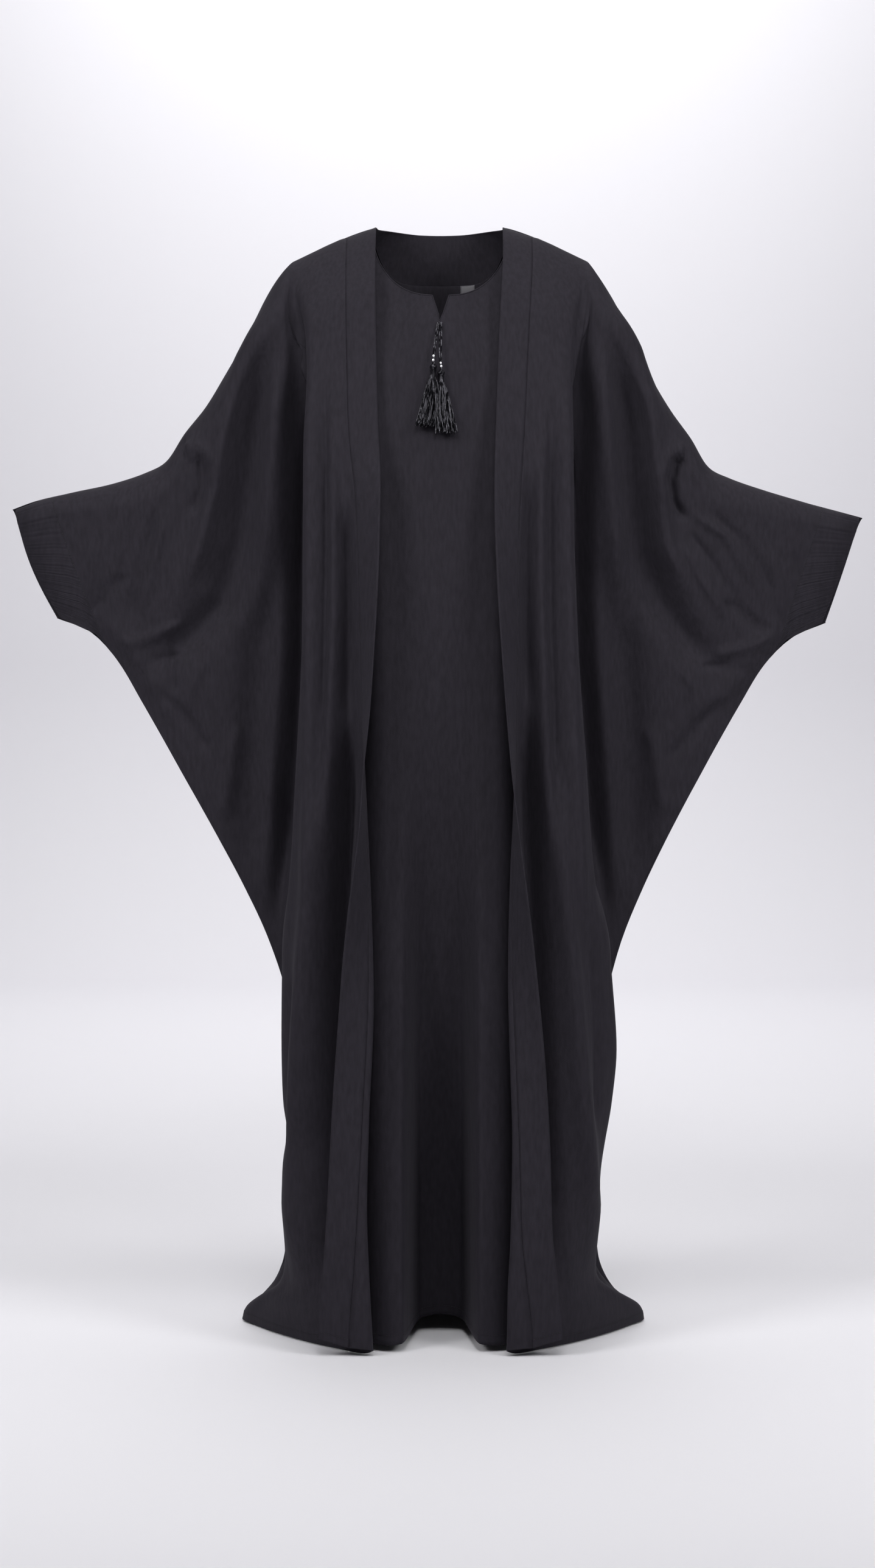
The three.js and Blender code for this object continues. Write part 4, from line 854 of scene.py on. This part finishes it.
INNER_BACK = table("z middle", [
    (-10, 84), (-56, 91), (-120, 102), (-200, 109), (-300, 110), (-450, 106), (-700, 104), (-1000, 106),
    (-1300, 110), (HEM_Z, 112),
])
INNER_SIDE = table("z out front back", [
    (-10, 148, -6, 6), (-60, 138, -26, 22), (-120, 134, -38, 34), (-180, 142, -28, 24), (-236, 154, 0, 0),
    (-300, 156, 0, 0), (-450, 151, 0, 0), (-700, 151, 0, 0), (-1000, 154, 0, 0), (-1300, 158, 0, 0),
    (HEM_Z, 160, 0, 0),
])
# Low down, the hollow between the two folds ends between near and far, in steps from the middle.
INNER_HOLLOW = {"near": 26, "far": 50, "from": -700, "over": 450}
# Lower down, the cloth falls back sooner outside the folds.
INNER_FALL = {"power": 2.6, "from": -350, "over": 300}
INNER_HEM = {"middle": -1413, "fold": -1428, "side": -1420, "fold_share": 0.4}
ARMHOLE_FOOT = -235
INNER_DOWN = np.interp(np.linspace(0, 19, 172), range(20), [
    0, 0.012, 0.03, 0.055, 0.09, 0.13, 0.18, 0.24, 0.3, 0.36, 0.43, 0.5, 0.57, 0.64, 0.71, 0.78, 0.85, 0.91,
    0.96, 1,
])


def inner_top(share, is_back):
    """Where a column of the inner dress begins: at the notch, the neck or the shoulder."""
    half, z = INNER_NECK["half"], INNER_NECK["z"]
    if share > INNER_NECK_SHARE:
        along = (share - INNER_NECK_SHARE) / (1 - INNER_NECK_SHARE)
        return mix(half, INNER_SHOULDER[0], along), 0, mix(z, INNER_SHOULDER[1], along)
    if is_back:
        angle = share / INNER_NECK_SHARE * math.pi / 2
        level = mix(INNER_NECK["back_z"], z, math.sin(angle) ** 6)
        return half * math.sin(angle), INNER_NECK["back"] * max(0, math.cos(angle)) ** 0.7, level
    if share < NOTCH["share"]:
        along = share / NOTCH["share"]
        return NOTCH["corner"] * along, 0, mix(NOTCH["tip_z"], NOTCH["corner_z"], along)
    angle = (share - NOTCH["share"]) / (INNER_NECK_SHARE - NOTCH["share"]) * math.pi / 2
    return mix(NOTCH["corner"], half, math.sin(angle)), 0, mix(z, NOTCH["corner_z"], math.cos(angle))


def inner_column(share, is_back):
    top_out, top_y, top_z = inner_top(share, is_back)
    hem = INNER_HEM
    if is_back:
        foot = mix(hem["fold"], hem["side"], share)
    elif share < hem["fold_share"]:
        foot = mix(hem["middle"], hem["fold"], smooth(share / hem["fold_share"]))
    else:
        foot = mix(hem["fold"], hem["side"], smooth((share - hem["fold_share"]) / (1 - hem["fold_share"])))
    z = mix(top_z, foot, INNER_DOWN)
    side_out = read(INNER_SIDE, "out", z)
    out = mix(top_out, share * side_out, smooth(INNER_DOWN / 0.2))
    if is_back:
        over = quarter_round((min(top_z, INNER_NECK["z"]) - z) / INNER_ROUND)
        bow = np.sqrt(1 - np.clip(out / side_out, 0, 1) ** 2)
        y = mix(top_y, mix(read(INNER_SIDE, "back", z), read(INNER_BACK, "middle", z), bow), over)
    else:
        fold_out = read(INNER_FRONT, "foldOut", z)
        middle, fold = read(INNER_FRONT, "middle", z), read(INNER_FRONT, "fold", z)
        low = smooth((INNER_HOLLOW["from"] - z) / INNER_HOLLOW["over"])
        near, far = mix(12, INNER_HOLLOW["near"], low), mix(0.8 * fold_out, INNER_HOLLOW["far"], low)
        inside = mix(middle, fold, smooth((out - near) / (far - near)))
        bow = np.sqrt(1 - np.clip((out - fold_out) / (side_out - fold_out), 0, 1) ** 2)
        bow = bow ** mix(1, INNER_FALL["power"], smooth((INNER_FALL["from"] - z) / INNER_FALL["over"]))
        y = np.where(out < fold_out, inside, mix(read(INNER_SIDE, "front", z), fold, bow))
        to_shoulder = np.clip((out - INNER_NECK["half"]) / (INNER_SHOULDER[0] - INNER_NECK["half"]), 0, 1)
        line = mix(INNER_NECK["z"], INNER_SHOULDER[1], to_shoulder)
        y = y * quarter_round((line - z) / INNER_ROUND)
    column = np.stack([out, y, z], axis=-1)
    facing = 1 if is_back else -1
    if share > INNER_NECK_SHARE - 0.01:
        column[0, 1] = facing * SEAM_GAP / 2
    if share == 1:
        column[z < ARMHOLE_FOOT, 1] = facing * SEAM_GAP / 2
    return column


def inner_grid(shares, is_back):
    half = np.array([inner_column(share, is_back) for share in shares])
    right, left = placed(half, "right"), placed(half, "left")
    if not is_back:
        for middle in (right[0], left[0]):
            middle[:, 0] = NOTCH["tip"] * smooth((middle[:, 2] + 400) / 250)
    return np.concatenate([right[::-1], left[1:]])


# The inner dress's crepe is the outer crepe's colour darkened by about a twentieth: painted shade for the
# dress lying back between the fronts, used also on its neck edge.
inner_crepe_with_painted_shade = crepe("inner_black_crepe_painted_shade", (0.0172, 0.0153, 0.0203))
front_shares = np.concatenate([
    np.linspace(0, NOTCH["share"], 5),
    np.linspace(NOTCH["share"], INNER_NECK_SHARE, 29)[1:],
    np.linspace(INNER_NECK_SHARE, 1, 23)[1:],
])
back_shares = np.concatenate([np.linspace(0, INNER_NECK_SHARE, 25), np.linspace(INNER_NECK_SHARE, 1, 17)[1:]])
inner_front_grid, inner_back_grid = inner_grid(front_shares, False), inner_grid(back_shares, True)
inner_front = cloth("inner_front_cloth", inner_front_grid, inner_crepe_with_painted_shade, "inner_front")
inner_back = cloth("inner_back_cloth", inner_back_grid, inner_crepe_with_painted_shade, "inner_back")

# The edge of the inner neck.
# The crepe is turned in and sewn down round the neck and the notch, where it stands as a thin round edge.
NECK_EDGE = {"radius": 0.85, "sides": 8, "off": (0, -0.4, 0.2)}
BACKWARD = np.array((0, 1, 0))
split = len(front_shares) - 1
last = int(np.searchsorted(front_shares, INNER_NECK_SHARE))
edge_line = inner_front_grid[split - last:split + last + 1, 0] + NECK_EDGE["off"]
edge_out = np.gradient(edge_line, axis=0)
edge_out /= np.linalg.norm(edge_out, axis=1, keepdims=True)
edge_side = np.cross(edge_out, BACKWARD)
edge_side /= np.linalg.norm(edge_side, axis=1, keepdims=True)
edge_rings = []
for k in range(NECK_EDGE["sides"]):
    a = 2 * math.pi * k / NECK_EDGE["sides"]
    edge_rings.append(edge_line + NECK_EDGE["radius"] * (edge_side * math.cos(a) + BACKWARD * math.sin(a)))
edge_points, edge_faces = tube(np.stack(edge_rings, axis=1))
neck_edge = mesh_object("inner_neck_edge", edge_points * MM, edge_faces, inner_crepe_with_painted_shade)
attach(neck_edge, "root")

# The label.
# A small plain tab of pale grey satin inside the back neck of the inner dress. It carries no words.
LABEL = {"from": 0.115, "to": 0.205, "height": 18, "off": 1.6, "thick": 0.4}
label_shares = np.linspace(LABEL["from"], LABEL["to"], 9)
label_falls = np.linspace(0.5, LABEL["height"], 9) / (INNER_NECK["back_z"] - HEM_Z)
label_columns = []
for share in label_shares:
    column = inner_column(share, True)
    fallen = [np.interp(label_falls, INNER_DOWN, column[:, k]) for k in range(3)]
    label_columns.append(np.stack(fallen, axis=-1))
label_grid = np.array(label_columns)
label_grid = label_grid - grid_normals(label_grid, -1) * LABEL["off"]
label_satin = plain("label_satin", (0.085, 0.081, 0.092), 0.5)
label = cloth("label_tab", label_grid, label_satin, "neck_label", LABEL["thick"])

# The stitching.
# Black thread in small even machine stitches holds up the hems of both dresses, the ends of the bands and the
# cuffs, a finger's width from the edge.
STITCH = {"length": 2.4, "gap": 0.9, "radius": 0.24, "off": 0.8, "band_off": 1.0}
HEM_ROWS, INNER_HEM_ROWS = 8, 2  # how many rows above the edge the stitches run
thread = plain("black_thread", (0.008, 0.008, 0.009), 0.55)


def stitched(name, lines):
    """Rows of stitches along lines of points, each line already moved out onto the cloth."""
    parts = []
    for line in lines:
        along = np.concatenate([[0], np.cumsum(np.linalg.norm(np.diff(line, axis=0), axis=1))])
        for start in np.arange(1, along[-1] - STITCH["length"], STITCH["length"] + STITCH["gap"]):
            stops = start + np.linspace(0, STITCH["length"], 3)
            centre = np.stack([np.interp(stops, along, line[:, k]) for k in range(3)], axis=-1)
            way = centre[-1] - centre[0]
            way /= np.linalg.norm(way)
            side_way = np.cross(way, (0.3, 0.9, 0.31))
            side_way /= np.linalg.norm(side_way)
            other_way = np.cross(way, side_way)
            radii = STITCH["radius"] * np.array([0.5, 1, 0.5])[:, None]
            rings = [centre + radii * (side_way * math.cos(a) + other_way * math.sin(a))
                     for a in (0, math.pi / 2, math.pi, 1.5 * math.pi)]
            parts.append(tube(np.stack(rings, axis=1)))
    points, faces = joined(parts)
    made = mesh_object(name, np.array(points) * MM, faces, thread)
    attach(made, "root")


def off_cloth(grid, lift):
    """A sheet's points moved off its middle along its normals, onto one face or the other."""
    return grid + grid_normals(grid, 1) * lift


for side, facing in (("right", -1), ("left", 1)):
    face = off_cloth(front_grids[side], facing * STITCH["off"])
    stitched(f"front_{side}_stitches", [face[:FRONT_HEM + 1, -1 - HEM_ROWS], face[-1 - CUFF_HEM]])
    faces = [off_cloth(band_grids[side], lift * STITCH["band_off"]) for lift in (1, -1)]
    stitched(f"band_{side}_stitches", [face[:, -1 - HEM_ROWS] for face in faces])
face = off_cloth(back_grid, -STITCH["off"])
middle = len(right_half) - 1
hem = face[middle - BACK_HEM:middle + BACK_HEM + 1, -1 - HEM_ROWS]
stitched("back_stitches", [hem, face[CUFF_HEM], face[-1 - CUFF_HEM]])
for name, grid, facing in (("inner_front", inner_front_grid, 1), ("inner_back", inner_back_grid, -1)):
    stitched(f"{name}_stitches", [off_cloth(grid, facing * STITCH["off"])[:, -1 - INNER_HEM_ROWS]])
